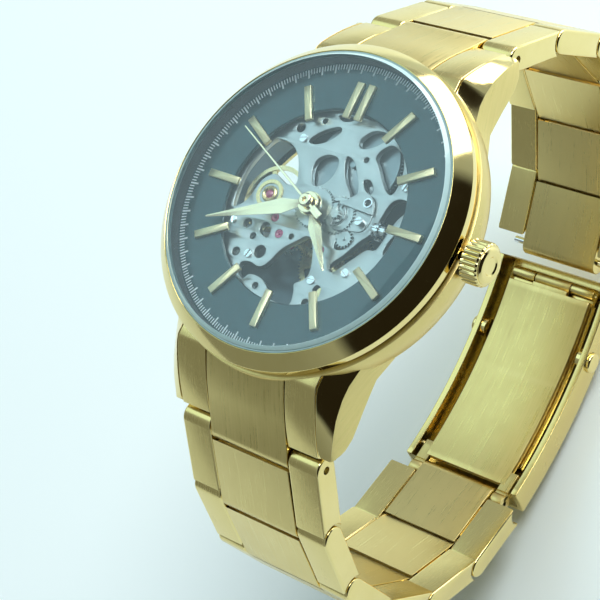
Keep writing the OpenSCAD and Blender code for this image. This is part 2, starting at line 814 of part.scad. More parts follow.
module escape_wheel() {
    color(silver) translate([escape_at[0], escape_at[1], 0]) {
        translate([0, 0, 5.2]) linear_extrude(0.15) difference() {
            polygon(escape_points());
            for (i = [0 : 3]) rotate([0, 0, 90 * i])
                polygon(sector_points(0.45, 1.1, 15, 75));
        }
        translate([0, 0, 3.3]) toothed(escape_pinion_teeth, train_module, 0.4, 0.1,
            gap_to(escape_at, centre, escape_pinion_teeth));
        translate([0, 0, arbor_low]) cylinder(r = arbor_r, h = arbor_high - arbor_low, $fn = 32);
    }
}

// The fork points at the balance, its two pallets reach for the escape wheel
module pallet_fork() {
    to_balance = turn_to(pallet_at, balance_at);
    color(silver) translate([pallet_at[0], pallet_at[1], 0]) {
        translate([0, 0, arbor_low + 1.3]) cylinder(r = arbor_r, h = 1.3, $fn = 32);
        rotate([0, 0, to_balance]) translate([0, 0, 5.2]) linear_extrude(0.15) {
            difference() {
                polygon([[-0.3, -1.55], [0.15, -1.5], [0.35, -0.3], [2.3, -0.16], [2.6, -0.42],
                    [2.6, 0.42], [2.3, 0.16], [0.35, 0.3], [0.15, 1.5], [-0.3, 1.55],
                    [-0.1, 0.3], [-0.1, -0.3]]);
                translate([2.42, -0.16]) square([0.4, 0.32]);
            }
        }
    }
}

module balance_wheel() {
    color(bright_gold) translate([balance_at[0], balance_at[1], 0]) {
        translate([0, 0, 5.6]) difference() {
            cylinder(r = balance_r, h = 0.45);
            translate([0, 0, -over]) cylinder(r = balance_r - 0.5, h = 3);
        }
        translate([0, 0, 5.7]) linear_extrude(0.22) for (i = [0 : 2]) rotate([0, 0, 120 * i])
            translate([0, -0.3]) square([balance_r - 0.3, 0.6]);
        translate([0, 0, 5.45]) cylinder(r = 0.6, h = 0.5, $fn = 32);
        translate([0, 0, bridge_z + 0.35])
            cylinder(r = 0.16, h = arbor_high - bridge_z - 0.5, $fn = 32);
    }
}

// The flat spiral above the balance: turns of strip and a collet
module hairspring() {
    turns = 6;
    color([0.3, 0.42, 0.62]) translate([balance_at[0], balance_at[1], 4.2]) {
        for (i = [1 : turns]) difference() {
            cylinder(r = 0.45 + 0.24 * i, h = 0.16, $fn = 48);
            translate([0, 0, -over]) cylinder(r = 0.39 + 0.24 * i, h = 3, $fn = 48);
        }
        difference() {
            cylinder(r = 0.4, h = 0.3, $fn = 32);
            translate([0, 0, -over]) cylinder(r = 0.17, h = 3, $fn = 32);
        }
    }
}

// ================= motion work and hands

module cannon_pinion() {
    color(silver) {
        translate([0, 0, plate_top + 0.05]) toothed(cannon_teeth, motion_module, 0.3,
            centre_arbor_r + 0.02, turn_to(centre, minute_at) + 180 / cannon_teeth);
        ring(cannon_tube_r - 0.3, centre_arbor_r + 0.01, plate_top + 0.05, plate_top + 0.21);
        ring(0.62, seconds_arbor_r + 0.06, plate_top + 0.21, minute_hand_z + 0.25);
    }
}

module minute_wheel() {
    color(silver) translate([minute_at[0], minute_at[1], 0]) {
        translate([0, 0, plate_top + 0.06]) spoked(minute_teeth, motion_module, 0.16, 0.1,
            turn_to(minute_at, centre), 0.95, 1.8, 4);
        translate([0, 0, plate_top + 0.22]) toothed(minute_pinion_teeth, hour_module, 0.42, 0.1,
            turn_to(minute_at, centre));
        translate([0, 0, plate_top - 0.4]) cylinder(r = 0.2, h = 1, $fn = 32);
    }
}

module hour_wheel() {
    color(silver) {
        translate([0, 0, plate_top + 0.36]) toothed(hour_teeth, hour_module, 0.2, 0.68,
            gap_to(centre, minute_at, hour_teeth));
        ring(hour_tube_r - 0.2, 0.68, plate_top + 0.36, hour_hand_z + 0.2);
    }
}

module setting_wheel() {
    color(silver) translate([setting_at[0], setting_at[1], 0]) {
        translate([0, 0, plate_top + 0.06]) toothed(setting_teeth, motion_module, 0.16, 0.1,
            gap_to(setting_at, minute_at, setting_teeth));
        translate([0, 0, plate_top - 0.4]) cylinder(r = 0.2, h = 0.8, $fn = 32);
    }
}

// A pointed hand along +Y: narrow neck, widest a third of the way, blunt tip
module hand(length, width, widest_at, neck, collet_r, bore_r) {
    difference() {
        union() {
            linear_extrude(hand_t) polygon([
                [-neck / 2, 0], [-width / 2, widest_at], [-0.16, length],
                [0.16, length], [width / 2, widest_at], [neck / 2, 0]]);
            cylinder(r = collet_r, h = hand_t, $fn = 48);
        }
        translate([0, 0, -over]) cylinder(r = bore_r, h = 3, $fn = 32);
    }
}

module hour_hand() {
    color(bright_gold) translate([0, 0, hour_hand_z])
        rotate([0, 0, -30 * shown_hour]) hand(hour_hand_l, 1.7, 3.0, 0.9, 1.5, 1.01);
}

module minute_hand() {
    color(bright_gold) translate([0, 0, minute_hand_z])
        rotate([0, 0, -6 * shown_minute]) hand(minute_hand_l, 2.0, 3.6, 1.0, 1.35, 0.63);
}

module second_hand() {
    color(bright_gold) translate([0, 0, second_hand_z]) rotate([0, 0, -6 * shown_second]) {
        difference() {
            linear_extrude(0.16) union() {
                polygon([[-0.17, 0], [-0.1, second_hand_l], [0.1, second_hand_l], [0.17, 0]]);
                translate([-0.17, -1.6]) square([0.34, 1.6]);
                translate([-0.45, -3.2]) square([0.9, 1.8]);
            }
            translate([0, 0, -over]) cylinder(r = seconds_arbor_r + 0.01, h = 3, $fn = 32);
        }
        difference() {
            cylinder(r = 0.85, h = 0.5, $fn = 48);
            translate([0, 0, -over]) cylinder(r = seconds_arbor_r + 0.01, h = over + 0.35, $fn = 32);
        }
    }
}

// ================= assembly

mid_case();
bezel();
crystal();
crystal_gasket();
flange_ring();
dial();
hour_markers();
case_back();
case_back_glass();
case_back_gasket();
crown_tube();
movement_ring();
main_plate();
train_bridge();
balance_cock();
keyless_plate();
jewels();
movement_screws();
rotor_bearing();
end_link_12h();
end_link_6h();
spring_bars();
crown();
stem();
winding_pinion();
rotor();
hour_hand();
minute_hand();
second_hand();
hour_wheel();
cannon_pinion();
minute_wheel();
setting_wheel();
barrel();
mainspring();
centre_wheel();
third_wheel();
fourth_wheel();
escape_wheel();
pallet_fork();
balance_wheel();
hairspring();
bracelet_link(1);  // link_12h_1
bracelet_link(2);  // link_12h_2
bracelet_link(3);  // link_12h_3
bracelet_link(4);  // link_12h_4
bracelet_link(5);  // link_12h_5
link_12h_last();  // link_12h_6
link_6h(1);  // link_6h_1
link_6h(2);  // link_6h_2
link_6h(3);  // link_6h_3
link_6h(4);  // link_6h_4
link_6h(5);  // link_6h_5
link_6h(6);  // link_6h_6
clasp_inner_blade();
clasp_outer_blade();
clasp_cover();
clasp_button_right();
clasp_button_left();
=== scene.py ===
"""Skeleton wristwatch: the looks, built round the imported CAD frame.

Shapes are given in millimetres in the frame of the CAD part: +Z out through the
crystal, +Y to 12 o'clock, +X to the crown. They become metres when a piece is made.
"""
import json
import math

import bmesh
import bpy
from mathutils import Matrix, Vector


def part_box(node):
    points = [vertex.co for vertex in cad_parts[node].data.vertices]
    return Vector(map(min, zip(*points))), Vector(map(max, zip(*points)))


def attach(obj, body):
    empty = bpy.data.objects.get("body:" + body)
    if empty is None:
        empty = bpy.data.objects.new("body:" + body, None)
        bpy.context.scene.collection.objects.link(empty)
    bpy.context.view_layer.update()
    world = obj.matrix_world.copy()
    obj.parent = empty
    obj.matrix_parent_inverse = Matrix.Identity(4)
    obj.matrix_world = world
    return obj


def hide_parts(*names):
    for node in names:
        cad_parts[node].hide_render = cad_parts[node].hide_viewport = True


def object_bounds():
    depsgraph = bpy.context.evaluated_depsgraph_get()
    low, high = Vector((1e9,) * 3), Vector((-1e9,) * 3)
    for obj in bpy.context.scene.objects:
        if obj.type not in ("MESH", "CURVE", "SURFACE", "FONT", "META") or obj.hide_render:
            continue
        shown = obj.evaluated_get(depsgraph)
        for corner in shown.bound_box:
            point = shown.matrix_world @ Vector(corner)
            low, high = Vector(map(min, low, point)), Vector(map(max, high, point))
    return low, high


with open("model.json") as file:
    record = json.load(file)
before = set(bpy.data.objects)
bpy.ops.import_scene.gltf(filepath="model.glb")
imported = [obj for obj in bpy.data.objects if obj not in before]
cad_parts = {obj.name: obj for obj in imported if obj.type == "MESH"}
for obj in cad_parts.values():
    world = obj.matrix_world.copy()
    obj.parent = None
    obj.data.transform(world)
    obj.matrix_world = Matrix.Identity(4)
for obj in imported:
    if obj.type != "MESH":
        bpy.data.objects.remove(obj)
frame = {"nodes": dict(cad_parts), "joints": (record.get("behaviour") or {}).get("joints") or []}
cad_box = [list(corner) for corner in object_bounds()]

MM = 0.001
# turned profiles start this far from the axis instead of on it
AXIS_R = 0.0005
SHARP = math.radians(32)
scene = bpy.context.scene

# ------------------------------------------------------------------ dimensions, mm

def box_mm(node):
    low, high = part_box(node)
    return [v / MM for v in low], [v / MM for v in high]


DIAL_TOP = box_mm("dial")[1][2]
DIAL_R = box_mm("dial")[1][0]
CASE_TOP = 7.5
CASE_R = 21.5
BEZEL_R = box_mm("bezel")[1][0]
BEZEL_BOTTOM = box_mm("bezel")[0][2]
BEZEL_TOP = box_mm("bezel")[1][2]
BEZEL_SHOULDER = 9.27
BEZEL_BORE = 19.4
CRYSTAL_R = box_mm("crystal")[1][0]
CRYSTAL_FLOOR = box_mm("crystal")[0][2]
CRYSTAL_TOP = box_mm("crystal")[1][2]
CROWN_AXIS = 6.5
CROWN_X0 = box_mm("crown")[0][0]
CROWN_X1 = box_mm("crown")[1][0]
CROWN_R = box_mm("crown")[1][1]
PLATE_TOP = 7.3
PLATE_BOTTOM = 6.5
LINK_PITCH = 10.6
LINK_HALF_T = 1.65
LINK_SIDE = 11.0
LINK_MID = 6.15
LINK_GROOVE = 0.15
LINK_CLEAR = 2.0
LINK_SLOPES = [50, 65, 87, 110, 133, 156]
FIRST_PIN = (27.7, -1.8)
PIN_R = 0.53


def joint(name):
    return next(j for j in frame["joints"] if j["name"] == name)


def joint_at(name):
    """A joint's place in Y and Z, in mm."""
    place = joint(name)["pos_m"]
    return (place[1] / MM, place[2] / MM)


def at_hour(r, hour):
    """A place on the dial: distance from its centre and hour, clockwise from 12."""
    a = math.radians(30 * hour)
    return (r * math.sin(a), r * math.cos(a))


# ------------------------------------------------------------------ outlines

def fillet(points, radius, steps=4):
    """A closed outline with each corner rounded. radius is one number, or one for each corner."""
    out = []
    n = len(points)
    for i, p in enumerate(points):
        r = radius[i] if isinstance(radius, (list, tuple)) else radius
        p = Vector(p)
        a = Vector(points[i - 1]) - p
        b = Vector(points[(i + 1) % n]) - p
        if r <= 0 or a.length < 1e-6 or b.length < 1e-6:
            out.append(tuple(p))
            continue
        half = a.angle(b) / 2
        if half > math.radians(88) or half < math.radians(2):
            out.append(tuple(p))
            continue
        reach = min(r / math.tan(half), a.length * 0.49, b.length * 0.49)
        start = p + a.normalized() * reach
        end = p + b.normalized() * reach
        for k in range(steps + 1):
            t = k / steps
            q = start.lerp(p, t).lerp(p.lerp(end, t), t)
            out.append(tuple(q))
    return out


def arc(centre, r, a0, a1, steps):
    """Points on a circle, from angle a0 to a1 in degrees."""
    return [(centre[0] + r * math.cos(math.radians(a0 + (a1 - a0) * i / steps)),
             centre[1] + r * math.sin(math.radians(a0 + (a1 - a0) * i / steps)))
            for i in range(steps + 1)]


def smooth_loop(points, steps=7):
    """A closed Catmull-Rom curve through the points."""
    out = []
    n = len(points)
    for i in range(n):
        p0, p1, p2, p3 = (Vector(points[(i + k) % n]) for k in (-1, 0, 1, 2))
        for k in range(steps):
            t = k / steps
            out.append(tuple(0.5 * (2 * p1 + (p2 - p0) * t
                                    + (2 * p0 - 5 * p1 + 4 * p2 - p3) * t * t
                                    + (3 * p1 - p0 - 3 * p2 + p3) * t ** 3)))
    return out


def signed_area(points):
    return 0.5 * sum(a[0] * b[1] - b[0] * a[1]
                     for a, b in zip(points, points[1:] + points[:1]))


def inset(points, depth):
    """The outline moved inward by depth, by each corner's mitre."""
    if signed_area(points) < 0:
        points = points[::-1]
    out = []
    n = len(points)
    for i, p in enumerate(points):
        a = (Vector(p) - Vector(points[i - 1]))
        b = (Vector(points[(i + 1) % n]) - Vector(p))
        a = a.normalized() if a.length > 1e-9 else b.normalized()
        b = b.normalized() if b.length > 1e-9 else a
        normal = Vector((-a.y - b.y, a.x + b.x))
        if normal.length < 1e-6:
            out.append(tuple(p))
            continue
        normal.normalize()
        mitre = depth / max(normal.dot(Vector((-a.y, a.x))), 0.4)
        out.append(tuple(Vector(p) + normal * mitre))
    return out


# ------------------------------------------------------------------ shapes

def plain_frame(p):
    return p


class Shape:
    """Points and faces in mm, with a tag for each face and a grain place for each point."""

    def __init__(self):
        self.points, self.faces, self.tags, self.grain = [], [], [], []

    def add(self, points, faces, tag=0, place=plain_frame, grain=None, tags=None):
        base = len(self.points)
        self.points += [place(p) for p in points]
        self.grain += [(grain(p) if grain else p) for p in points]
        self.faces += [[base + i for i in f] for f in faces]
        self.tags += tags if tags else [tag] * len(faces)
        return self

    def stack(self, rings, tag=0, place=plain_frame, grain=None, caps=True, tag_of=None):
        """Skins a stack of rings that have the same number of points."""
        n = len(rings[0])
        faces, tags = [], []
        for k in range(len(rings) - 1):
            for i in range(n):
                j = (i + 1) % n
                faces.append([k * n + i, k * n + j, (k + 1) * n + j, (k + 1) * n + i])
                tags.append(tag_of(k, i) if tag_of else tag)
        if caps:
            faces.append(list(range(n))[::-1])
            faces.append([(len(rings) - 1) * n + i for i in range(n)])
            tags += [tag_of(-1, 0) if tag_of else tag, tag_of(len(rings), 0) if tag_of else tag]
        points = [p for ring in rings for p in ring]
        return self.add(points, faces, place=place, grain=grain, tags=tags)

    def prism(self, outline, w0, w1, edge=0.12, tag=0, place=plain_frame, grain=None,
              steps=3, edge_tag=None, side_tag=None):
        """An outline in local X and Y, extruded along local Z, with rounded rims."""
        if signed_area(outline) < 0:
            outline = outline[::-1]
        edge = min(edge, (w1 - w0) * 0.45)
        rings = []
        curve = [math.radians(90 * k / steps) for k in range(steps + 1)] if edge > 0 else [0]
        for a in curve:
            depth = edge * (1 - math.sin(a))
            ring = inset(outline, depth) if depth > 0 else list(outline)
            rings.append([(x, y, w0 + edge * (1 - math.cos(a))) for x, y in ring])
        for a in curve[::-1]:
            depth = edge * (1 - math.sin(a))
            ring = inset(outline, depth) if depth > 0 else list(outline)
            rings.append([(x, y, w1 - edge * (1 - math.cos(a))) for x, y in ring])
        last = len(rings)
        middle = len(curve) - 1

        def tag_of(k, i):
            if k in (-1, last):
                return tag if side_tag is None else side_tag
            if k == middle:
                return tag
            return tag if edge_tag is None else edge_tag

        return self.stack(rings, place=place, grain=grain, tag_of=tag_of)

    def revolve(self, profile, steps=192, tag=0, place=plain_frame, grain=None):
        """A profile in radius and height, turned about local Z."""
        points, faces = [], []
        m = len(profile)
        for k in range(steps):
            a = math.radians(360.0 * k / steps)
            points += [(r * math.cos(a), r * math.sin(a), z) for r, z in profile]
            k2 = (k + 1) % steps
            for i in range(m):
                j = (i + 1) % m
                faces.append([k * m + i, k2 * m + i, k2 * m + j, k * m + j])
        return self.add(points, faces, tag, place, grain)


def shifted(x, y):
    """Moves a shape across the dial."""
    return lambda p: (p[0] + x, p[1] + y, p[2])


def rotated(hour, shift=0.0):
    """Turns a shape drawn at 12 to an hour, after a shift along X."""
    a = -math.radians(30 * hour)

    def place(p):
        x = p[0] + shift
        return (x * math.cos(a) - p[1] * math.sin(a), x * math.sin(a) + p[1] * math.cos(a), p[2])

    return place


def band(r0, r1, z0, z1, edge=0.05, steps=2):
    """The profile of a ring with rounded edges."""
    return fillet([(r0, z0), (r1, z0), (r1, z1), (r0, z1)], edge, steps)


def ring_grain(p):
    """Grain that runs round the Z axis."""
    return (math.hypot(p[0], p[1]), p[0] + p[1], p[2])


def ray_grain(p):
    """Grain that runs out from the Z axis."""
    r = max(math.hypot(p[0], p[1]), 0.01)
    return (p[0] / r, p[1] / r, r)


def make(name, shape, materials, body, replaces=(), sharp=SHARP):
    """Turns a shape into a piece that rides on a body."""
    mesh = bpy.data.meshes.new(name)
    mesh.from_pydata([tuple(c * MM for c in p) for p in shape.points], [], shape.faces)
    for m in materials:
        mesh.materials.append(m)
    mesh.polygons.foreach_set("material_index", [min(t, len(materials) - 1) for t in shape.tags])
    grain = mesh.attributes.new("grain", "FLOAT_VECTOR", "POINT")
    grain.data.foreach_set("vector", [c for g in shape.grain for c in g])
    obj = bpy.data.objects.new(name, mesh)
    scene.collection.objects.link(obj)
    tidy_mesh(obj, sharp)
    return settle(obj, body, replaces)


def tidy_mesh(obj, sharp=SHARP):
    """Merges doubled points, turns the faces outward and marks the sharp edges."""
    bm = bmesh.new()
    bm.from_mesh(obj.data)
    bmesh.ops.remove_doubles(bm, verts=bm.verts, dist=1e-7)
    bmesh.ops.dissolve_degenerate(bm, dist=1e-8, edges=bm.edges)
    bmesh.ops.recalc_face_normals(bm, faces=bm.faces)
    for f in bm.faces:
        f.smooth = True
    for e in bm.edges:
        e.smooth = len(e.link_faces) == 2 and e.calc_face_angle(0) < sharp
    bm.to_mesh(obj.data)
    bm.free()


def settle(obj, body, replaces=()):
    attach(obj, body)
    if replaces:
        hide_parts(*replaces)
    return obj


def cut_plate(name, loops, z0, z1, edge, materials, body, replaces=()):
    """A flat plate with holes and rounded rims, from closed loops in X and Y."""
    curve = bpy.data.curves.new(name, "CURVE")
    curve.dimensions = "2D"
    curve.fill_mode = "BOTH"
    for loop in loops:
        spline = curve.splines.new("POLY")
        spline.points.add(len(loop) - 1)
        for point, (x, y) in zip(spline.points, loop):
            point.co = (x * MM, y * MM, 0, 1)
        spline.use_cyclic_u = True
    curve.extrude = ((z1 - z0) / 2 - edge) * MM
    curve.bevel_depth = edge * MM
    curve.bevel_resolution = 1
    curve.offset = -edge * MM
    source = bpy.data.objects.new(name + "_outline", curve)
    scene.collection.objects.link(source)
    bpy.context.view_layer.update()
    mesh = bpy.data.meshes.new_from_object(source.evaluated_get(bpy.context.evaluated_depsgraph_get()))
    bpy.data.objects.remove(source)
    mesh.name = name
    mesh.transform(Matrix.Translation((0, 0, (z0 + z1) / 2 * MM)))
    obj = bpy.data.objects.new(name, mesh)
    scene.collection.objects.link(obj)
    mesh.materials.clear()
    for m in materials:
        mesh.materials.append(m)
    tidy_mesh(obj)
    attribute = mesh.attributes.new("grain", "FLOAT_VECTOR", "POINT")
    values = []
    for v in mesh.vertices:
        values += [c / MM for c in v.co]
    attribute.data.foreach_set("vector", values)
    return settle(obj, body, replaces)


def circle(at, r, steps=40):
    return [(at[0] + r * math.cos(2 * math.pi * k / steps),
             at[1] + r * math.sin(2 * math.pi * k / steps)) for k in range(steps)]


# ------------------------------------------------------------------ materials

class Nodes:
    """Short calls for building a material's nodes."""

    def __init__(self, name):
        self.material = bpy.data.materials.new(name)
        self.material.use_nodes = True
        self.tree = self.material.node_tree
        self.shader = self.tree.nodes["Principled BSDF"]

    def node(self, kind, **values):
        node = self.tree.nodes.new(kind)
        for key, value in values.items():
            if key in node.inputs:
                node.inputs[key].default_value = value
            else:
                setattr(node, key, value)
        return node

    def link(self, a, b):
        self.tree.links.new(a, b)

    def base(self, colour):
        self.link(colour, self.shader.inputs["Base Color"])

    def rough(self, value):
        self.link(value, self.shader.inputs["Roughness"])

    def set(self, **values):
        for key, value in values.items():
            self.shader.inputs[key.replace("_", " ")].default_value = value

    def grain(self, scale):
        """The grain place, scaled along each of its axes, per mm.

        A CAD node carries no grain, so there the place in the object serves.
        """
        given = self.node("ShaderNodeAttribute", attribute_name="grain")
        length = self.node("ShaderNodeVectorMath", operation="LENGTH")
        self.link(given.outputs["Vector"], length.inputs[0])
        mix = self.node("ShaderNodeMix", data_type="VECTOR")
        self.link(self.math("GREATER_THAN", length.outputs["Value"], 0.0), mix.inputs["Factor"])
        self.link(self.place(1 / MM), mix.inputs[4])
        self.link(given.outputs["Vector"], mix.inputs[5])
        mapping = self.node("ShaderNodeMapping", Scale=scale)
        self.link(mix.outputs[1], mapping.inputs["Vector"])
        return mapping.outputs["Vector"]

    def place(self, scale):
        """The place in the object, per metre times scale."""
        source = self.node("ShaderNodeTexCoord")
        mapping = self.node("ShaderNodeMapping", Scale=(scale, scale, scale))
        self.link(source.outputs["Object"], mapping.inputs["Vector"])
        return mapping.outputs["Vector"]

    def noise(self, vector, detail=4.0, roughness=0.6):
        node = self.node("ShaderNodeTexNoise", Scale=1.0, Detail=detail, Roughness=roughness)
        self.link(vector, node.inputs["Vector"])
        return node.outputs["Fac"]

    def span(self, value, low, high, from_low=0.3, from_high=0.7):
        node = self.node("ShaderNodeMapRange")
        node.inputs["From Min"].default_value = from_low
        node.inputs["From Max"].default_value = from_high
        node.inputs["To Min"].default_value = low
        node.inputs["To Max"].default_value = high
        self.link(value, node.inputs["Value"])
        return node.outputs["Result"]

    def ramp(self, value, stops):
        node = self.node("ShaderNodeValToRGB")
        ramp = node.color_ramp
        while len(ramp.elements) < len(stops):
            ramp.elements.new(0.5)
        for element, (at, colour) in zip(ramp.elements, stops):
            element.position = at
            element.color = (*colour, 1)
        self.link(value, node.inputs["Fac"])
        return node.outputs["Color"]

    def math(self, operation, a, b):
        node = self.node("ShaderNodeMath", operation=operation)
        for socket, value in zip(node.inputs, (a, b)):
            if isinstance(value, (int, float)):
                socket.default_value = value
            else:
                self.link(value, socket)
        return node.outputs["Value"]

    def bump(self, height, strength, distance):
        node = self.node("ShaderNodeBump", Strength=strength, Distance=distance)
        self.link(height, node.inputs["Height"])
        self.link(node.outputs["Normal"], self.shader.inputs["Normal"])

    def painted_edge_highlight(self, colour, highlight_colour):
        """Lightens the colour along sharp edges, where pointiness is high: a painted edge highlight."""
        geometry = self.node("ShaderNodeNewGeometry")
        edge = self.span(geometry.outputs["Pointiness"], 0.0, 1.0, 0.52, 0.62)
        mix = self.node("ShaderNodeMix", data_type="RGBA")
        self.link(edge, mix.inputs["Factor"])
        self.link(colour, mix.inputs[6])
        mix.inputs[7].default_value = (*highlight_colour, 1)
        return mix.outputs[2]


def brushed_metal(name, light, dark, rough, grain_scale=(5, 0.12, 0.12), relief=0.25, spread=0.12):
    """Metal brushed along the grain's second axis."""
    n = Nodes(name)
    n.set(Metallic=1.0)
    lines = n.noise(n.grain(grain_scale), detail=7.0, roughness=0.72)
    patches = n.noise(n.place(260), detail=3.0)
    # painted edge highlight: sharp edges are lightened to the light tone
    n.base(n.painted_edge_highlight(n.ramp(lines, [(0.25, dark), (0.75, light)]), light))
    rough_lines = n.span(lines, rough - spread, rough + spread)
    n.rough(n.math("ADD", rough_lines, n.span(patches, -0.03, 0.03)))
    n.bump(lines, relief, 0.00004)
    return n.material


def polished_metal(name, light, dark, rough=0.07):
    """Mirror-polished metal with hairlines and faint smears."""
    n = Nodes(name)
    n.set(Metallic=1.0)
    smears = n.noise(n.place(180), detail=5.0)
    hairs = n.noise(n.grain((1.5, 14, 9)), detail=6.0, roughness=0.75)
    # painted edge highlight: sharp edges are lightened to the light tone
    n.base(n.painted_edge_highlight(n.ramp(smears, [(0.3, dark), (0.7, light)]), light))
    total = n.math("ADD", n.span(smears, rough - 0.02, rough + 0.05), n.span(hairs, 0.0, 0.05, 0.5, 0.75))
    n.rough(total)
    n.bump(hairs, 0.03, 0.00002)
    return n.material


GOLD_LIGHT = (0.84, 0.67, 0.29)
GOLD_DARK = (0.70, 0.55, 0.20)
gold_brushed = brushed_metal("gold_brushed", GOLD_LIGHT, GOLD_DARK, 0.34)
gold_satin = brushed_metal("gold_satin", (0.84, 0.67, 0.28), (0.80, 0.63, 0.25), 0.24, (7, 0.3, 0.3),
                           0.1, 0.05)
gold_polished = polished_metal("gold_polished", (0.92, 0.75, 0.34), (0.87, 0.70, 0.29))
hand_gold = polished_metal("hand_gold", (1.0, 0.88, 0.60), (0.97, 0.83, 0.51), 0.14)
marker_gold = polished_metal("marker_gold", (0.99, 0.87, 0.56), (0.95, 0.82, 0.48), 0.42)
steel_bright = polished_metal("steel_bright", (0.86, 0.88, 0.90), (0.78, 0.80, 0.83), 0.12)
train_brass = brushed_metal("train_brass", (0.90, 0.76, 0.42), (0.78, 0.60, 0.28), 0.28, (14, 1.5, 14), 0.1)


def plate_metal(name, light, dark, stripes=0.0):
    """Rhodium-plated plate: fine satin grain, with pressed stripes where asked. Its darker copies hold
    painted shade.
    """
    n = Nodes(name)
    n.set(Metallic=1.0)
    grit = n.noise(n.grain((16, 16, 16)), detail=6.0, roughness=0.8)
    cloud = n.noise(n.place(200), detail=3.0)
    n.base(n.ramp(cloud, [(0.3, dark), (0.7, light)]))
    n.rough(n.span(grit, 0.24, 0.42))
    height = grit
    if stripes:
        wave = n.node("ShaderNodeTexWave", Scale=stripes, Distortion=0.0)
        wave.wave_profile = "SAW"
        n.link(n.grain((1, 1, 1)), wave.inputs["Vector"])
        height = n.math("ADD", n.math("MULTIPLY", wave.outputs["Fac"], 3.0), grit)
    n.bump(height, 0.18, 0.00003)
    return n.material


plate_silver = plate_metal("plate_silver", (0.60, 0.62, 0.61), (0.49, 0.52, 0.52))
# painted shade: plated metal given a dark colour for the movement parts lit less inside the case
plate_painted_shade = plate_metal("plate_painted_shade", (0.16, 0.20, 0.22), (0.10, 0.13, 0.15))
# barrel: silver plate darkened to grey as painted shade, for the movement lit less inside the case
plate_grey_painted_shade = plate_metal("plate_grey_painted_shade", (0.34, 0.39, 0.41), (0.24, 0.28, 0.30))
plate_striped = plate_metal("plate_striped", (0.88, 0.90, 0.92), (0.78, 0.81, 0.84), 0.35)


def lacquer(name, light, dark, rough):
    """Sunray lacquer: fine rays from the dial's centre under a clear coat."""
    n = Nodes(name)
    source = n.node("ShaderNodeAttribute", attribute_name="grain")
    mapping = n.node("ShaderNodeMapping", Scale=(26, 26, 0.02))
    n.link(source.outputs["Vector"], mapping.inputs["Vector"])
    rays = n.noise(mapping.outputs["Vector"], detail=5.0, roughness=0.7)
    n.base(n.ramp(rays, [(0.3, dark), (0.7, light)]))
    n.rough(n.span(rays, rough - 0.06, rough + 0.06))
    n.set(Metallic=0.35, Coat_Weight=0.5, Coat_Roughness=0.12)
    n.bump(rays, 0.02, 0.00001)
    return n.material


def plain_finish(name, light, dark, rough, coat=0.0, bump=0.05, scale=900):
    """Paint, rubber or print: a mottled colour with fine relief."""
    n = Nodes(name)
    spots = n.noise(n.place(scale), detail=5.0, roughness=0.7)
    n.base(n.ramp(spots, [(0.3, dark), (0.7, light)]))
    n.rough(n.span(spots, rough - 0.06, rough + 0.06))
    n.set(Coat_Weight=coat)
    n.bump(spots, bump, 0.00003)
    return n.material


GLASS_IOR = 1.52


def clear_glass(name, tint, rough=0.0):
    """Clear glass with the faintest smears."""
    n = Nodes(name)
    smears = n.noise(n.place(90), detail=4.0)
    n.rough(n.span(smears, rough, rough + 0.012))
    n.set(Base_Color=(*tint, 1), IOR=GLASS_IOR, Transmission_Weight=1.0)
    return n.material


# black lacquer whose teal tint is a painted reflection of the teal-lit surroundings in its clear coat
dial_black = lacquer("dial_black", (0.010, 0.075, 0.092), (0.006, 0.055, 0.070), 0.34)
ring_dark = plain_finish("ring_dark", (0.050, 0.062, 0.072), (0.030, 0.038, 0.046), 0.35, coat=0.3)
print_white = plain_finish("print_white", (0.92, 0.96, 0.98), (0.84, 0.88, 0.91), 0.5)
rubber_black = plain_finish("rubber_black", (0.030, 0.032, 0.034), (0.015, 0.016, 0.017), 0.6, bump=0.3)
# pale crystal seal; its teal tint is a painted reflection, matching the teal ring seen at the crystal's rim
seal_pale_painted_teal = plain_finish("seal_pale_painted_teal", (0.34, 0.48, 0.50), (0.27, 0.40, 0.42), 0.4, coat=0.3)
ruby = plain_finish("ruby", (0.80, 0.16, 0.34), (0.60, 0.08, 0.22), 0.08, coat=0.6, scale=1500)
blued = polished_metal("blued", (0.22, 0.34, 0.62), (0.12, 0.20, 0.45), 0.18)
crystal_glass = clear_glass("crystal_glass", (0.93, 0.99, 0.995))
# the crystal's bevelled rim as an opaque pale teal coat: a painted reflection of the light seen in the
# crystal's side
crystal_rim_painted_teal = plain_finish("crystal_rim_painted_teal", (0.60, 0.80, 0.81), (0.52, 0.73, 0.75), 0.22,
                            coat=0.8, bump=0.02)
back_glass = clear_glass("back_glass", (0.96, 0.98, 0.98), 0.01)

ROOT = "watch_head"

# ------------------------------------------------------------------ case

def build_case():
    """The barrel with its four lugs."""
    barrel = fillet([(18.38, 0.6), (18.8, 0.6), *arc((15.3, 6.2), 6.2, -58, -3, 12)[1:],
                     (CASE_R, CASE_TOP), (20.5, CASE_TOP), (20.5, BEZEL_BOTTOM - 0.01),
                     (19.38, BEZEL_BOTTOM - 0.01), (19.38, DIAL_TOP), (18.95, DIAL_TOP),
                     (18.95, 7.95), (18.0, 7.95), (18.0, 1.5), (18.38, 1.5)], 0.12, 2)
    shape = Shape()
    shape.revolve(barrel, 256, grain=ring_grain)
    for sx in (-1, 1):
        for sy in (-1, 1):
            lug(shape, sx, sy)
    return make("case_body", shape, [gold_brushed, gold_polished], ROOT, ["mid_case"])


SHOULDER_R = 30.0
SHOULDER_C = (3.0, -17.1)


def shoulder(y, drop=0.0):
    """Height of the arc that the end links and the lugs' inner edges follow."""
    return SHOULDER_C[1] + math.sqrt(SHOULDER_R ** 2 - (y - SHOULDER_C[0]) ** 2) - drop


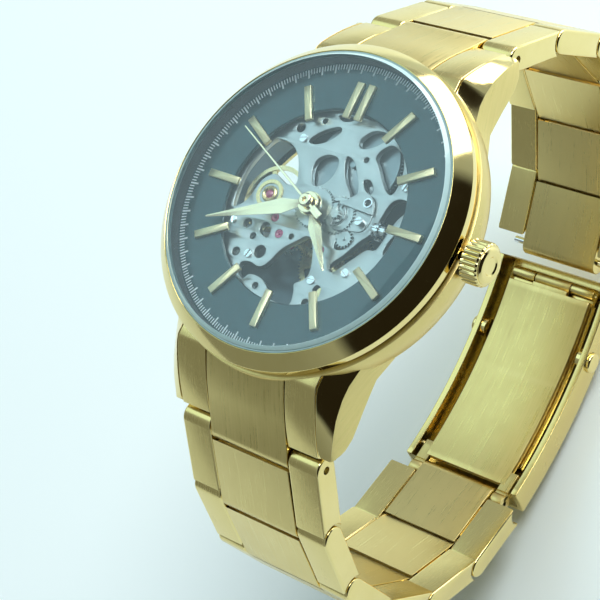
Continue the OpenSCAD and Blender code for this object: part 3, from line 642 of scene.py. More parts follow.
def between(table, y):
    """Straight-line reading of a short list of places."""
    if y <= table[0][0]:
        return table[0][1]
    for (a, u), (b, v) in zip(table, table[1:]):
        if y <= b:
            return u + (v - u) * (y - a) / (b - a)
    return table[-1][1]


# distance from the centre towards 12, then the height or the reach in X
LUG_FACET_Z = [(13, 6.3), (16, 5.8), (18.3, 5.4), (20, 4.95), (22.3, 3.95), (24.4, 2.55), (26.6, 0.6)]
LUG_FACET_X = [(13, 15.6), (16, 14.3), (18.3, 13.6), (20, 13.3), (22.3, 13.0), (24.4, 12.8), (26.6, 12.5)]
LUG_FOOT_Z = [(13, 3.1), (16.3, 2.35), (20.8, 0.7), (23.2, -0.1), (25, -0.28), (26.0, -0.1), (26.7, 0.35)]
LUG_FOOT_X = [(13, 16.4), (16, 14.9), (20, 14.2), (23, 13.8), (25, 13.4), (26.8, 12.7)]


def lug(shape, sx, sy):
    """One lug: a brushed flank, a polished facet on top and a flat inner side."""
    rings = []
    inner = LINK_SIDE + 0.03
    stations = [13, 14.5, 16, 17.2, 18.3, 19.2, 20, 20.8, 21.6, 22.4, 23.2, 24, 24.8, 25.5, 26.1,
                26.55, 26.8]
    for k, y in enumerate(stations):
        top = min(CASE_TOP - 0.05, shoulder(y))
        facet = between(LUG_FACET_Z, y)
        foot = between(LUG_FOOT_Z, y)
        facet = max(facet, foot + 0.25)
        corners = [(inner, foot), (between(LUG_FOOT_X, y), foot),
                   (between(LUG_FACET_X, y), facet), (inner, top)]
        if k == len(stations) - 1:
            mid = Vector((sum(c[0] for c in corners) / 4, sum(c[1] for c in corners) / 4))
            corners = [tuple(mid.lerp(Vector(c), 0.72)) for c in corners]
        ring = fillet(corners, [0.15, 0.35, 0.14, 0.1], 3)
        rings.append([(sx * x, sy * y, z) for x, z in ring])
    count = len(rings[0])

    def tag_of(k, i):
        # points run foot to facet to inner top: the facet lies between its two rounds
        return 1 if 2 * (count // 4) + 1 <= i <= 3 * (count // 4) else 0

    def grain(p):
        return (p[2], p[1], p[0])

    shape.stack(rings, tag_of=tag_of, grain=grain)


def build_bezel():
    profile = fillet([(BEZEL_BORE, BEZEL_BOTTOM), (BEZEL_R - 0.3, BEZEL_BOTTOM),
                      (BEZEL_R, BEZEL_BOTTOM + 0.45), (BEZEL_R, BEZEL_SHOULDER - 0.05),
                      (BEZEL_BORE + 0.1, BEZEL_TOP), (BEZEL_BORE, BEZEL_TOP - 0.08)],
                     [0.05, 0.2, 0.35, 0.14, 0.04, 0.02], 4)
    shape = Shape().revolve(profile, 320, grain=ring_grain)
    return make("bezel_ring", shape, [gold_polished], ROOT, ["bezel"])


def build_crystal():
    top_edge = 0.42
    profile = fillet([(AXIS_R, CRYSTAL_FLOOR), (CRYSTAL_R, CRYSTAL_FLOOR),
                      (CRYSTAL_R, CRYSTAL_TOP - top_edge), (CRYSTAL_R - top_edge, CRYSTAL_TOP),
                      (AXIS_R, CRYSTAL_TOP)], [0, 0.03, 0.06, 0.06, 0], 3)
    shape = Shape().revolve(profile, 256)
    pane = make("crystal_pane", shape, [crystal_glass, crystal_rim_painted_teal], ROOT, ["crystal"],
                sharp=math.radians(15))
    # rim faces take the painted teal reflection in place of clear glass
    for face in pane.data.polygons:
        reach = math.hypot(face.center.x, face.center.y) / MM
        face.material_index = int(reach > CRYSTAL_R - top_edge - 0.02)


def build_gasket_and_flange():
    gasket = fillet([(18.75, 10.05), (BEZEL_BORE - 0.02, 10.05), (BEZEL_BORE - 0.02, BEZEL_TOP - 0.08),
                     (CRYSTAL_R + 0.02, BEZEL_TOP - 0.08), (CRYSTAL_R + 0.02, CRYSTAL_FLOOR - 0.01),
                     (18.75, CRYSTAL_FLOOR - 0.01)], 0.03, 2)
    shape = Shape().revolve(gasket, 192)
    make("crystal_seal", shape, [seal_pale_painted_teal], ROOT, ["crystal_gasket"])
    flange = fillet([(18.5, DIAL_TOP), (19.38, DIAL_TOP), (19.38, 10.03), (18.98, 10.03)], 0.04, 2)
    shape = Shape().revolve(flange, 256, grain=ring_grain)
    make("flange", shape, [ring_dark], ROOT, ["flange_ring"])


# ------------------------------------------------------------------ dial and hands

DIAL_OPENING_R = 12.35
TRACK_R = 18.35
TICKS_AN_HOUR = 25
MARKER_SIZE = (0.95, 4.7, 0.5)
MARKER_OUTER_R = 16.0
MARKER_PAIR_SHIFT = 0.85
SHOWN_HOUR = 4.7
SHOWN_MINUTE = 41.2
SHOWN_SECOND = 49.4


def build_dial():
    """The ring dial and its printed minute track."""
    inner = DIAL_OPENING_R
    profile = fillet([(inner, DIAL_TOP - 0.4), (DIAL_R, DIAL_TOP - 0.4), (DIAL_R, DIAL_TOP),
                      (inner + 0.16, DIAL_TOP), (inner, DIAL_TOP - 0.14)], [0, 0.02, 0.02, 0.05, 0.05], 3)
    shape = Shape().revolve(profile, 256, grain=ray_grain)
    make("dial_ring", shape, [dial_black], ROOT, ["dial"])
    ticks = Shape()
    for k in range(12 * TICKS_AN_HOUR):
        long = k % 5 == 0
        r0, width = (17.2, 0.22) if long else (17.65, 0.15)
        ticks.prism([(-width / 2, r0), (width / 2, r0), (width / 2, TRACK_R), (-width / 2, TRACK_R)],
                    DIAL_TOP, DIAL_TOP + 0.012, 0.0, place=rotated(k / TICKS_AN_HOUR))
    make("minute_track", ticks, [print_white], ROOT)


def build_markers():
    """An applied bar at every hour, and a pair of them at 12."""
    width, length, height = MARKER_SIZE
    outline = fillet([(-width / 2, MARKER_OUTER_R - length), (width / 2, MARKER_OUTER_R - length),
                      (width / 2, MARKER_OUTER_R), (-width / 2, MARKER_OUTER_R)], 0.05, 2)
    shape = Shape()
    for h in range(12):
        for shift in ((-MARKER_PAIR_SHIFT, MARKER_PAIR_SHIFT) if h == 0 else (0.0,)):
            shape.prism(outline, DIAL_TOP + 0.002, DIAL_TOP + height, 0.07, place=rotated(h, shift), steps=2)
    make("hour_bars", shape, [marker_gold], ROOT, ["hour_markers"])


def faceted_hand(stations, z, rise):
    """Rings of a two-facet hand along +Y. stations are (distance, half width)."""
    side = z + rise * 0.35
    rings = []
    for y, w in stations:
        peak = side + (rise - rise * 0.35) * min(1, w / 0.5)
        rings.append([(-w, y, z), (w, y, z), (w, y, side), (0, y, peak), (-w, y, side)])
    return rings


def build_hands():
    hour_z = DIAL_TOP + 0.35
    minute_z = DIAL_TOP + 0.85
    second_z = DIAL_TOP + 1.4
    shape = Shape()
    stations = [(1.1, 0.34), (1.8, 0.5), (3.1, 0.86), (6.2, 0.48), (9.0, 0.13), (9.1, 0.08)]
    shape.stack(faceted_hand(stations, hour_z, 0.26), place=rotated(SHOWN_HOUR))
    shape.revolve(band(1.01, 1.5, hour_z, hour_z + 0.2), 96)
    make("hand_hours", shape, [hand_gold], "hour_drive", ["hour_hand"], sharp=math.radians(12))
    shape = Shape()
    stations = [(0.9, 0.4), (2.0, 0.62), (3.6, 1.0), (9.0, 0.55), (14.1, 0.13), (14.3, 0.08)]
    shape.stack(faceted_hand(stations, minute_z, 0.28), place=rotated(SHOWN_MINUTE / 5))
    shape.revolve(band(0.63, 1.35, minute_z, minute_z + 0.2), 96)
    make("hand_minutes", shape, [hand_gold], "minute_drive", ["minute_hand"],
         sharp=math.radians(12))
    shape = Shape()
    outline = [(-0.17, -1.4), (-0.45, -1.4), (-0.45, -3.2), (0.45, -3.2), (0.45, -1.4), (0.17, -1.4),
               (0.16, 0), (0.09, 14.9), (-0.09, 14.9), (-0.16, 0)]
    shape.prism(fillet(outline, 0.06, 2), second_z, second_z + 0.16, 0.04,
                place=rotated(SHOWN_SECOND / 5), steps=2)
    cap = [(0.23, second_z - 0.02), (0.85, second_z - 0.02), (0.85, second_z + 0.36), (0.7, second_z + 0.5),
           (0.3, second_z + 0.5), (0.24, second_z + 0.34)]
    shape.revolve(fillet(cap, [0, 0.05, 0.1, 0.1, 0.05, 0], 3), 96)
    make("hand_seconds", shape, [hand_gold], "seconds_drive", ["second_hand"],
         sharp=math.radians(25))


# ------------------------------------------------------------------ movement

# control points of the plate's openings: hour on the dial, distance from its centre
PLATE_OPENINGS = [
    [(0.3, 9.6), (0.45, 8.8), (0.7, 9.6), (0.85, 11.6), (0.72, 12.0), (0.45, 11.2)],
    [(1.0, 9.2), (1.25, 8.9), (2.0, 9.0), (2.1, 10.0), (1.7, 11.4), (1.35, 12.0), (1.05, 11.6),
     (0.95, 10.3)],
    [(2.38, 12.1), (2.27, 10.8), (2.37, 9.6), (2.8, 8.75), (3.2, 8.4), (3.5, 7.8), (4.1, 7.5), (4.6, 7.7),
     (4.6, 8.7), (4.0, 8.7), (3.6, 9.2), (3.45, 10.2), (3.1, 10.4), (2.75, 10.9), (2.55, 11.8)],
    [(3.07, 12.1), (3.02, 11.5), (3.22, 11.1), (3.43, 11.3), (3.43, 12.0)],
    [(4.95, 10.2), (5.02, 11.2), (5.12, 11.1), (5.15, 10.2), (5.05, 9.7)],
    [(5.66, 12.0), (5.62, 10.5), (5.66, 9.4), (5.42, 8.8), (5.27, 7.8), (5.24, 5.5), (5.4, 3.9), (5.8, 3.5),
     (6.2, 4.2), (6.65, 6.2), (6.7, 8.4), (6.82, 9.6), (7.1, 10.2), (7.22, 11.2), (7.08, 12.0), (6.9, 12.0),
     (6.85, 11.0), (6.55, 10.4), (6.28, 10.9), (6.1, 11.9)],
    [(7.45, 7.1), (7.5, 6.6), (7.72, 6.2), (7.95, 6.5), (7.98, 7.2), (7.75, 7.7)],
    [(8.6, 11.8), (8.59, 10.9), (8.74, 10.0), (9.0, 9.55), (9.35, 9.1), (9.6, 8.2), (9.62, 7.0), (9.6, 6.0),
     (9.72, 5.1), (9.95, 4.9), (10.2, 5.8), (10.42, 7.6), (10.42, 9.5), (10.28, 11.0), (10.05, 12.0),
     (9.3, 12.1)],
    [(10.85, 9.4), (11.0, 8.6), (11.4, 8.7), (11.7, 9.9), (11.6, 10.5), (11.2, 10.1)],
    [(11.55, 12.0), (11.66, 11.3), (11.86, 11.4), (11.9, 12.0)],
    [(10.75, 3.4), (10.85, 5.2), (11.1, 6.5), (11.5, 6.9), (11.9, 6.6), (12.05, 5.6), (12.0, 4.1),
     (11.4, 3.0)],
    [(0.2, 7.1), (0.5, 7.1), (0.85, 6.5), (1.5, 5.7), (2.2, 5.1), (2.25, 4.6), (1.6, 4.5), (0.9, 4.7),
     (0.45, 5.6)],
    [(1.4, 6.6), (1.5, 7.3), (1.85, 7.5), (1.98, 6.9), (1.7, 6.4)],
    [(3.5, 6.2), (3.65, 6.9), (4.05, 6.8), (4.3, 6.0), (4.05, 5.1), (3.8, 5.2), (3.6, 5.7)],
]
# round holes: hour, distance, radius
PLATE_HOLES = [(5.3, 11.7, 0.5), (6.56, 11.5, 0.42), (7.15, 8.5, 0.8), (7.52, 11.3, 0.55), (7.7, 8.7, 0.42),
               (8.1, 9.3, 0.6), (6.72, 4.4, 0.36), (10.7, 11.5, 0.6), (11.25, 11.4, 0.35),
               (0.85, 8.15, 0.36)]
PLATE_SCREWS = [(4.3, 9.7), (2.05, 11.6), (8.25, 11.4), (10.72, 9.9), (5.2, 9.0), (7.3, 9.9)]
SETTING_OUTLINE = [(1.9, 6.1), (2.05, 7.2), (2.4, 7.9), (2.9, 8.05), (3.25, 7.6), (3.4, 6.6), (3.5, 5.6),
                   (3.75, 4.6), (3.9, 3.6), (3.4, 3.05), (2.8, 3.05), (2.2, 3.1), (2.05, 4.2), (1.95, 5.2)]


def pivot(name):
    """A joint's place in X and Y, in mm."""
    place = joint(name)["pos_m"]
    return (place[0] / MM, place[1] / MM)


def dial_loop(points, steps=7):
    return smooth_loop([at_hour(r, hour) for hour, r in points], steps)


def build_plate():
    """The openworked plate in the dial's ring, with its rubies and screws."""
    outer = box_mm("main_plate")[1][0]
    loops = [circle((0, 0), outer, 180), circle((0, 0), 0.95, 48)]
    loops += [dial_loop(points) for points in PLATE_OPENINGS]
    loops += [circle(at_hour(r, hour), size, 36) for hour, r, size in PLATE_HOLES]
    bearings = [pivot("third_run"), pivot("escape_run"), pivot("pallet_rock")]
    loops += [circle(place, 0.55, 32) for place in bearings]
    loops.append(circle(pivot("balance_swing"), 1.02, 40))
    cut_plate("openworked_plate", loops, PLATE_BOTTOM, PLATE_TOP, 0.07, [plate_silver], ROOT,
              ["main_plate"])
    stones = Shape()
    for x, y in bearings:
        profile = fillet([(0.1, PLATE_TOP - 0.4), (0.53, PLATE_TOP - 0.4), (0.53, PLATE_TOP - 0.04),
                          (0.36, PLATE_TOP - 0.04), (0.1, PLATE_TOP - 0.16)], 0.02, 2)
        stones.revolve(profile, 40, place=shifted(x, y))
    over_balance = shifted(*pivot("balance_swing"))
    dome = [(AXIS_R, PLATE_TOP - 0.3), (0.5, PLATE_TOP - 0.3), (0.5, PLATE_TOP + 0.02),
            (0.35, PLATE_TOP + 0.12), (AXIS_R, PLATE_TOP + 0.16)]
    stones.revolve(dome, 40, place=over_balance)
    make("rubies", stones, [ruby], ROOT, ["jewels"])
    setting = Shape()
    ring = fillet([(0.52, PLATE_TOP - 0.4), (1.0, PLATE_TOP - 0.4), (1.0, PLATE_TOP + 0.16),
                   (0.78, PLATE_TOP + 0.24), (0.52, PLATE_TOP + 0.05)], 0.04, 2)
    setting.revolve(ring, 64, place=over_balance)
    setting.revolve(band(1.35, 1.85, PLATE_TOP - 0.01, PLATE_TOP + 0.12), 64, place=over_balance)
    make("shock_setting", setting, [train_brass], ROOT)
    screws = Shape()
    for hour, r in PLATE_SCREWS:
        screw_head(screws, at_hour(r, hour), PLATE_TOP, 0.55, 35 * hour)
    make("plate_screws", screws, [steel_bright], ROOT, ["movement_screws"])


SLOT_HALF = 0.09


def screw_head(shape, at, z, r, turn):
    """A slotted screw head with a rounded rim, sunk a little in its seat."""
    a = math.radians(turn)
    for side in (-1, 1):
        span = math.degrees(math.acos(SLOT_HALF / r))
        rim = [(r * math.cos(math.radians(t)), r * math.sin(math.radians(t)))
               for t in [90 - span + 2 * span * k / 14 for k in range(15)]]
        rim = [(x, max(y, SLOT_HALF)) for x, y in rim]

        def place(p, side=side):
            x, y = p[0] * side, p[1] * side
            return (at[0] + x * math.cos(a) - y * math.sin(a),
                    at[1] + x * math.sin(a) + y * math.cos(a), p[2])

        shape.prism(rim, z - 0.05, z + 0.2, 0.05, place=place, steps=2)
    base = [(AXIS_R, z - 0.3), (r * 0.9, z - 0.3), (r * 0.9, z + 0.08), (AXIS_R, z + 0.08)]
    shape.revolve(base, 32, place=shifted(*at))


SETTING_SCREW = at_hour(6.6, 3.0)
SETTING_EYE = at_hour(7.1, 2.35)
SETTING_POST = at_hour(6.3, 2.2)


def build_setting_plate():
    """The small lobed plate that covers the hand-setting wheels by the crown."""
    top = box_mm("keyless_plate")[1][2]
    loops = [dial_loop(SETTING_OUTLINE, 8), circle(pivot("minute_wheel_run"), 1.45, 48),
             circle(SETTING_SCREW, 0.3, 24), circle(SETTING_EYE, 0.4, 30)]
    cut_plate("setting_plate", loops, top - 0.22, top, 0.05, [plate_silver], ROOT,
              ["keyless_plate"])
    details = Shape()
    screw_head(details, SETTING_SCREW, top, 0.55, 20)
    details.revolve(band(0.42, 0.62, top - 0.02, top + 0.1, 0.03), 40, place=shifted(*SETTING_EYE))
    post = [(AXIS_R, PLATE_TOP - 0.02), (0.5, PLATE_TOP - 0.02), (0.5, top - 0.2), (AXIS_R, top - 0.2)]
    for place in (SETTING_SCREW, SETTING_POST):
        details.revolve(post, 24, place=shifted(*place))
    make("setting_plate_screw", details, [steel_bright], ROOT)


# ------------------------------------------------------------------ crown

def along_x(p):
    """Local Z to +X, on the crown's axis."""
    return (p[2], p[0], p[1] + CROWN_AXIS)


def build_crown():
    """The fluted knob. A station is (place along the axis, radius, share of the flutes' depth)."""
    flutes, fine = 24, 8
    steps = flutes * fine
    x0, x1 = CROWN_X0, CROWN_X1
    body_end = x0 + 2.5
    stations = [(x0, 1.34, 0), (x0, 2.2, 0), (x0 + 0.08, 2.4, 0), (x0 + 0.3, CROWN_R, 0.1),
                (x0 + 0.55, CROWN_R, 1), (body_end - 0.5, CROWN_R, 1), (body_end - 0.2, CROWN_R - 0.05, 0.6),
                (body_end, CROWN_R - 0.25, 0.0), (body_end + 0.02, CROWN_R - 0.42, 0)]
    rings = []
    for x, r, depth in stations:
        ring = []
        for k in range(steps):
            a = 2 * math.pi * k / steps
            notch = 0.5 - 0.5 * math.cos(2 * math.pi * (k % fine) / fine)
            rr = r - 0.26 * depth * (1 - notch) ** 1.5
            ring.append((rr * math.cos(a), rr * math.sin(a), x))
        rings.append(ring)
    shape = Shape()
    shape.stack(rings, place=along_x, caps=False, grain=lambda p: (p[2], 0, 0))
    cap = fillet([(AXIS_R, body_end - 0.3), (CROWN_R - 0.42, body_end - 0.3),
                  (CROWN_R - 0.42, body_end + 0.12), (CROWN_R - 0.75, x1), (1.2, x1 - 0.02),
                  (1.0, x1 - 0.2), (AXIS_R, x1 - 0.2)], [0, 0, 0.15, 0.3, 0.1, 0.1, 0], 4)
    shape.revolve(cap, 96, place=along_x)
    socket = [(1.34, x0), (1.34, x0 + 1.4), (0.5, x0 + 1.4), (0.5, x0 + 1.9), (1.2, x0 + 2.0),
              (2.2, x0 + 2.0), (2.2, x0)]
    shape.revolve(socket, 96, place=along_x)
    make("crown_knob", shape, [gold_polished], "crown_and_stem", ["crown"])


# ------------------------------------------------------------------ bracelet

def knuckle_outline(start_round, end_round, y0, y1):
    """Side outline of a link block: rounded or hollowed at each end about a pin."""
    t = LINK_HALF_T
    if start_round:
        start = arc((y0, 0), t, 270, 90, 12)
    else:
        a = math.degrees(math.asin(t / LINK_CLEAR))
        start = arc((y0, 0), LINK_CLEAR, -a, a, 8)
    if end_round:
        end = arc((y1, 0), t, 90, -90, 12)
    else:
        a = math.degrees(math.asin(t / LINK_CLEAR))
        end = arc((y1, 0), LINK_CLEAR, 180 - a, 180 + a, 8)
    return start + end


def link_place(side, n):
    """Local link frame: X across, Y along the link, Z outward."""
    y, z = joint_at(f"link_{side}_{n}_hinge")
    sign = 1 if side == "12h" else -1
    a = math.radians(LINK_SLOPES[n - 1])
    along = (math.cos(a), -math.sin(a))
    out = (math.sin(a), math.cos(a))

    def place(p):
        x, s, w = p
        return (x, y + sign * (s * along[0] + w * out[0]), z + s * along[1] + w * out[1])

    return place


def h_blocks(shape, place, middle, outer, web, side, edge, steps=3):
    """The three blocks of an H-link and the web that joins them. Outlines are (along, outward)."""

    def turned(p):
        return place((p[2], p[0], p[1]))

    def grain(p):
        return (p[2], p[0], p[1])

    shape.prism(middle, -LINK_MID, LINK_MID, 0.12, place=turned, grain=grain, side_tag=1)
    for sign in (-1, 1):
        w0, w1 = sorted((sign * (LINK_MID + LINK_GROOVE), sign * side))
        shape.prism(outer, w0, w1, edge, tag=2, place=turned, grain=grain, edge_tag=1, side_tag=1,
                    steps=steps)
    shape.prism(web, -LINK_MID - 0.4, LINK_MID + 0.4, 0.0, tag=2, place=turned, grain=grain)


def rod(shape, place, centre, r, x0, x1, tag=0):
    """A pin across the bracelet."""
    shape.revolve(band(AXIS_R, r, x0, x1, [0, 0.06, 0.06, 0]), 24, tag=tag,
                  place=lambda p: place((p[2], centre[0] + p[0], centre[1] + p[1])))


def bore(obj, place, centre, r, x0, x1):
    """Cuts a round hole across a link with a boolean, and keeps the result."""
    cutter_shape = Shape()
    rod(cutter_shape, place, centre, r, x0, x1)
    mesh = bpy.data.meshes.new("cutter")
    mesh.from_pydata([tuple(c * MM for c in p) for p in cutter_shape.points], [], cutter_shape.faces)
    cutter = bpy.data.objects.new("cutter", mesh)
    scene.collection.objects.link(cutter)
    tidy_mesh(cutter)
    modifier = obj.modifiers.new("bore", "BOOLEAN")
    modifier.object = cutter
    modifier.operation = "DIFFERENCE"
    modifier.solver = "EXACT"
    bpy.context.view_layer.update()
    result = bpy.data.meshes.new_from_object(obj.evaluated_get(bpy.context.evaluated_depsgraph_get()))
    obj.modifiers.clear()
    obj.data = result
    bpy.data.objects.remove(cutter)
    tidy_mesh(obj)


def build_links():
    """Six links to a side, each with its pin. The last by 12 also holds the clasp's spring bar."""
    outer = knuckle_outline(True, False, 0, LINK_PITCH)
    middle = knuckle_outline(False, True, 0, LINK_PITCH)
    web = [(2.6, -1.2), (LINK_PITCH - 2.6, -1.2), (LINK_PITCH - 2.6, 1.2), (2.6, 1.2)]
    for side in ("12h", "6h"):
        for n in range(1, 7):
            name = f"link_{side}_{n}"
            place = link_place(side, n)
            shape = Shape()
            h_blocks(shape, place, middle, outer, web, LINK_SIDE, 0.32, 4)
            obj = make(name + "_block", shape, [gold_brushed, gold_polished, gold_satin], name,
                       [name])
            pins = Shape()
            rod(pins, place, (0, 0), PIN_R - 0.03, -LINK_SIDE + 0.9, LINK_SIDE - 0.9)
            if side == "12h" and n == 6:
                rod(pins, place, (LINK_PITCH, 0), PIN_R - 0.03, -8.4, 8.4)
            make(name + "_pin", pins, [steel_bright], name)
            if n == 1:
                bore(obj, place, (0, 0), PIN_R, 8, 12)


def build_end_links():
    """The fixed links between the lugs, shaped to the case at one end and to the first pin at the other."""
    base = [(17.5, CASE_TOP - 0.06), (20.0, CASE_TOP - 0.06)]
    face = base + [(y, min(CASE_TOP - 0.1, shoulder(y, 0.05))) for y in
                   [20.4 + 0.6 * k for k in range(12)]]
    under = [(y - 1.2, shoulder(y, 3.6)) for y in [26 - 0.8 * k for k in range(9)]]
    px, pz = FIRST_PIN
    for side, sign in (("12h", 1), ("6h", -1)):
        shape = Shape()

        def place(p, sign=sign):
            return (p[0], sign * p[1], p[2])

        knuckle = arc((px, pz), LINK_HALF_T, 62, -128, 14)
        middle = fillet(face, [0, 1.2] + [0] * 12, 4)[:-3] + knuckle + under
        hollow = arc((px, pz), LINK_CLEAR, 116, 215, 10)
        top = [p for p in face if math.hypot(p[0] - px, p[1] - pz) > LINK_CLEAR + 0.05]
        low = [p for p in under if math.hypot(p[0] - px, p[1] - pz) > LINK_CLEAR + 0.05]
        outer = top + hollow + low
        web = [(20, 2.5), (21, 6.2), (23.5, 3.8), (25.2, 0.4), (24, 0.0)]
        h_blocks(shape, place, middle, outer, web, LINK_SIDE - 0.08, 0.15)
        make(f"end_link_{side}_block", shape, [gold_brushed, gold_polished, gold_satin], ROOT,
             [f"end_link_{side}"])


# ------------------------------------------------------------------ clasp

FOLD_ANGLE = 14.0
FOLD_PIN_R = 60.3
COVER_PIN_R = 61.2
CLASP_Z = joint_at("clasp_fold")[1] + FOLD_PIN_R * math.cos(math.radians(FOLD_ANGLE))
CLASP_R = math.hypot(joint_at("inner_blade_hinge")[0], joint_at("inner_blade_hinge")[1] - CLASP_Z)
LINK_PIN_ANGLE = math.degrees(math.asin(-joint_at("inner_blade_hinge")[0] / CLASP_R))
KNUCKLE_PIN = 0.39
KNUCKLE_BORE = 0.43
EAR_START = 12
EAR_END = FOLD_ANGLE - 0.6
EAR_X = 3.2
LEAF_HALF_W = 7
TONGUE_HALF_W = 3
SLOT_HALF_W = 1.6
OUTER_LEAF_R = (60.7, 61.6)
OUTER_LEAF_END = 12.4
INNER_LEAF_R = (59.0, 59.9)
INNER_EAR_R = (59.05, 59.85)
LINK_EAR_X = 8.2
COVER_RIM_R, COVER_CEILING_R, COVER_R = 58.6, 62.2, 63.3
COVER_WALL = 1.0
BUTTON_ANGLE = 5.0
BUTTON_AXIS_R = CLASP_R + 0.4
BUTTON_R = 1.5


def on_clasp(r, a):
    """A place on the clasp: distance from its centre, and angle from straight down."""
    return (r * math.sin(math.radians(a)), CLASP_Z - r * math.cos(math.radians(a)))


def bent_plate(shape, section, a0, a1, edge=0.12):
    """Sweeps a section in X and radius along the clasp's circle, with rounded ends."""
    steps = max(2, int(abs(a1 - a0) / 0.8))
    middle_r = sum(r for x, r in section) / len(section)
    reach = math.degrees(edge / middle_r)
    stations = [(a0, edge), (a0 + reach * 0.3, edge * 0.3), (a0 + reach, 0)]
    stations += [(a0 + reach + (a1 - a0 - 2 * reach) * k / steps, 0) for k in range(1, steps)]
    stations += [(a1 - reach, 0), (a1 - reach * 0.3, edge * 0.3), (a1, edge)]
    rings = []
    for a, depth in stations:
        ring = inset(section, depth) if depth else list(section)
        rings.append([(x, *on_clasp(r, a)) for x, r in ring])
    shape.stack(rings)


def leaf(shape, radii, x0, x1, a0, a1):
    """A stretch of bent sheet, between two radii."""
    r0, r1 = radii
    bent_plate(shape, fillet([(x0, r0), (x1, r0), (x1, r1), (x0, r1)], 0.15, 3), a0, a1)


def clasp_rod(shape, r, angle, radius, x0, x1, tag=0):
    rod(shape, plain_frame, on_clasp(r, angle), radius, x0, x1, tag)


def clasp_tube(shape, r, angle, radius, x0, x1):
    """A knuckle with room for its pin."""
    y, z = on_clasp(r, angle)
    profile = band(KNUCKLE_BORE, radius, x0, x1, 0.06)
    shape.revolve(profile, 28, place=lambda p: (p[2], y + p[0], z + p[1]))


def build_clasp_cover():
    """The bent outer shell, its button holes and the pin of its hinge."""
    side = box_mm("clasp_cover")[1][0]
    inner = side - COVER_WALL
    section = fillet([(-side, COVER_RIM_R), (-inner, COVER_RIM_R), (-inner, COVER_CEILING_R),
                      (inner, COVER_CEILING_R), (inner, COVER_RIM_R), (side, COVER_RIM_R),
                      (side, COVER_R), (-side, COVER_R)], [0.15, 0.1, 0.15, 0.15, 0.1, 0.15, 0.55, 0.55], 4)
    shape = Shape()
    bent_plate(shape, section, -17.2, 15.9, 0.2)
    cover = make("clasp_cover_shell", shape, [gold_satin], "clasp_cover", ["clasp_cover"])
    for x0, x1 in ((-12, -7), (7, 12)):
        bore(cover, plain_frame, on_clasp(BUTTON_AXIS_R, BUTTON_ANGLE), BUTTON_R + 0.05, x0, x1)
    pin = Shape()
    clasp_rod(pin, COVER_PIN_R, -FOLD_ANGLE, KNUCKLE_PIN, -side + 0.3, side - 0.3)
    make("clasp_cover_pin", pin, [steel_bright], "clasp_cover")


def build_outer_leaf():
    """The slotted leaf under the cover."""
    shape = Shape()
    end = OUTER_LEAF_END
    leaf(shape, OUTER_LEAF_R, -LEAF_HALF_W, -SLOT_HALF_W, -end, end)
    leaf(shape, OUTER_LEAF_R, SLOT_HALF_W, LEAF_HALF_W, -end, end)
    for a0, a1 in ((-end, -5.7), (5.7, end)):
        leaf(shape, (60.72, 61.58), -1.7, 1.7, a0, a1)
    leaf(shape, (60.75, 61.55), -TONGUE_HALF_W, TONGUE_HALF_W, -EAR_END, -EAR_START)
    clasp_tube(shape, COVER_PIN_R, -FOLD_ANGLE, 0.8, -TONGUE_HALF_W, TONGUE_HALF_W)
    for s in (-1, 1):
        x0, x1 = sorted((s * EAR_X, s * LEAF_HALF_W))
        leaf(shape, (60.3, 61.1), x0, x1, EAR_START, EAR_END)
        clasp_tube(shape, FOLD_PIN_R, FOLD_ANGLE, 0.9, x0, x1)
    make("clasp_outer_leaf", shape, [gold_satin], "clasp_outer_blade", ["clasp_outer_blade"])


def build_inner_leaf():
    """The plain leaf next to the wrist, with the pins of both its hinges."""
    shape = Shape()
    leaf(shape, INNER_LEAF_R, -LEAF_HALF_W, LEAF_HALF_W, -16.2, 12.8)
    leaf(shape, INNER_EAR_R, -TONGUE_HALF_W, TONGUE_HALF_W, EAR_START, EAR_END)
    clasp_tube(shape, FOLD_PIN_R, FOLD_ANGLE, 0.9, -TONGUE_HALF_W, TONGUE_HALF_W)
    for s in (-1, 1):
        x0, x1 = sorted((s * (LINK_MID + 0.15), s * LINK_EAR_X))
        leaf(shape, INNER_EAR_R, x0, x1, -LINK_PIN_ANGLE, -14)
        clasp_rod(shape, CLASP_R, -LINK_PIN_ANGLE, 1.3, x0, x1)
    clasp_rod(shape, FOLD_PIN_R, FOLD_ANGLE, KNUCKLE_PIN, -6.9, 6.9, 1)
    clasp_rod(shape, CLASP_R, -LINK_PIN_ANGLE, PIN_R - 0.03, -LINK_EAR_X, LINK_EAR_X, 1)
    make("clasp_inner_leaf", shape, [gold_brushed, steel_bright], "clasp_inner_blade",
         ["clasp_inner_blade"])


def build_buttons():
    """The two push buttons, with rounded outer rims."""
    y, z = on_clasp(BUTTON_AXIS_R, BUTTON_ANGLE)
    for name, rounding in (("right", [0, 0.1, 0.45, 0]), ("left", [0, 0.45, 0.1, 0])):
        node = f"clasp_button_{name}"
        low, high = box_mm(node)
        shape = Shape()
        shape.revolve(band(AXIS_R, BUTTON_R, low[0], high[0], rounding, 4), 48,
                      place=lambda p: (p[2], y + p[0], z + p[1]))
        make(node + "_cap", shape, [gold_polished], node, [node])


# ------------------------------------------------------------------ stage, lights and camera

def build_stage():
    low = cad_box[0][2] - 0.0015
    half = 1.6
    mesh = bpy.data.meshes.new("floor")
    mesh.from_pydata([(-half, -half, low), (half, -half, low), (half, half, low), (-half, half, low)], [],
                     [(0, 1, 2, 3)])
    floor = bpy.data.objects.new("floor", mesh)
    scene.collection.objects.link(floor)
    n = Nodes("pale_floor")
    cloud = n.noise(n.place(3.0), detail=2.0)
    colour = n.ramp(cloud, [(0.3, (0.86, 0.95, 0.96)), (0.7, (0.91, 0.97, 0.975))])
    n.base(colour)
    n.set(Roughness=0.6)
    mesh.materials.append(n.material)


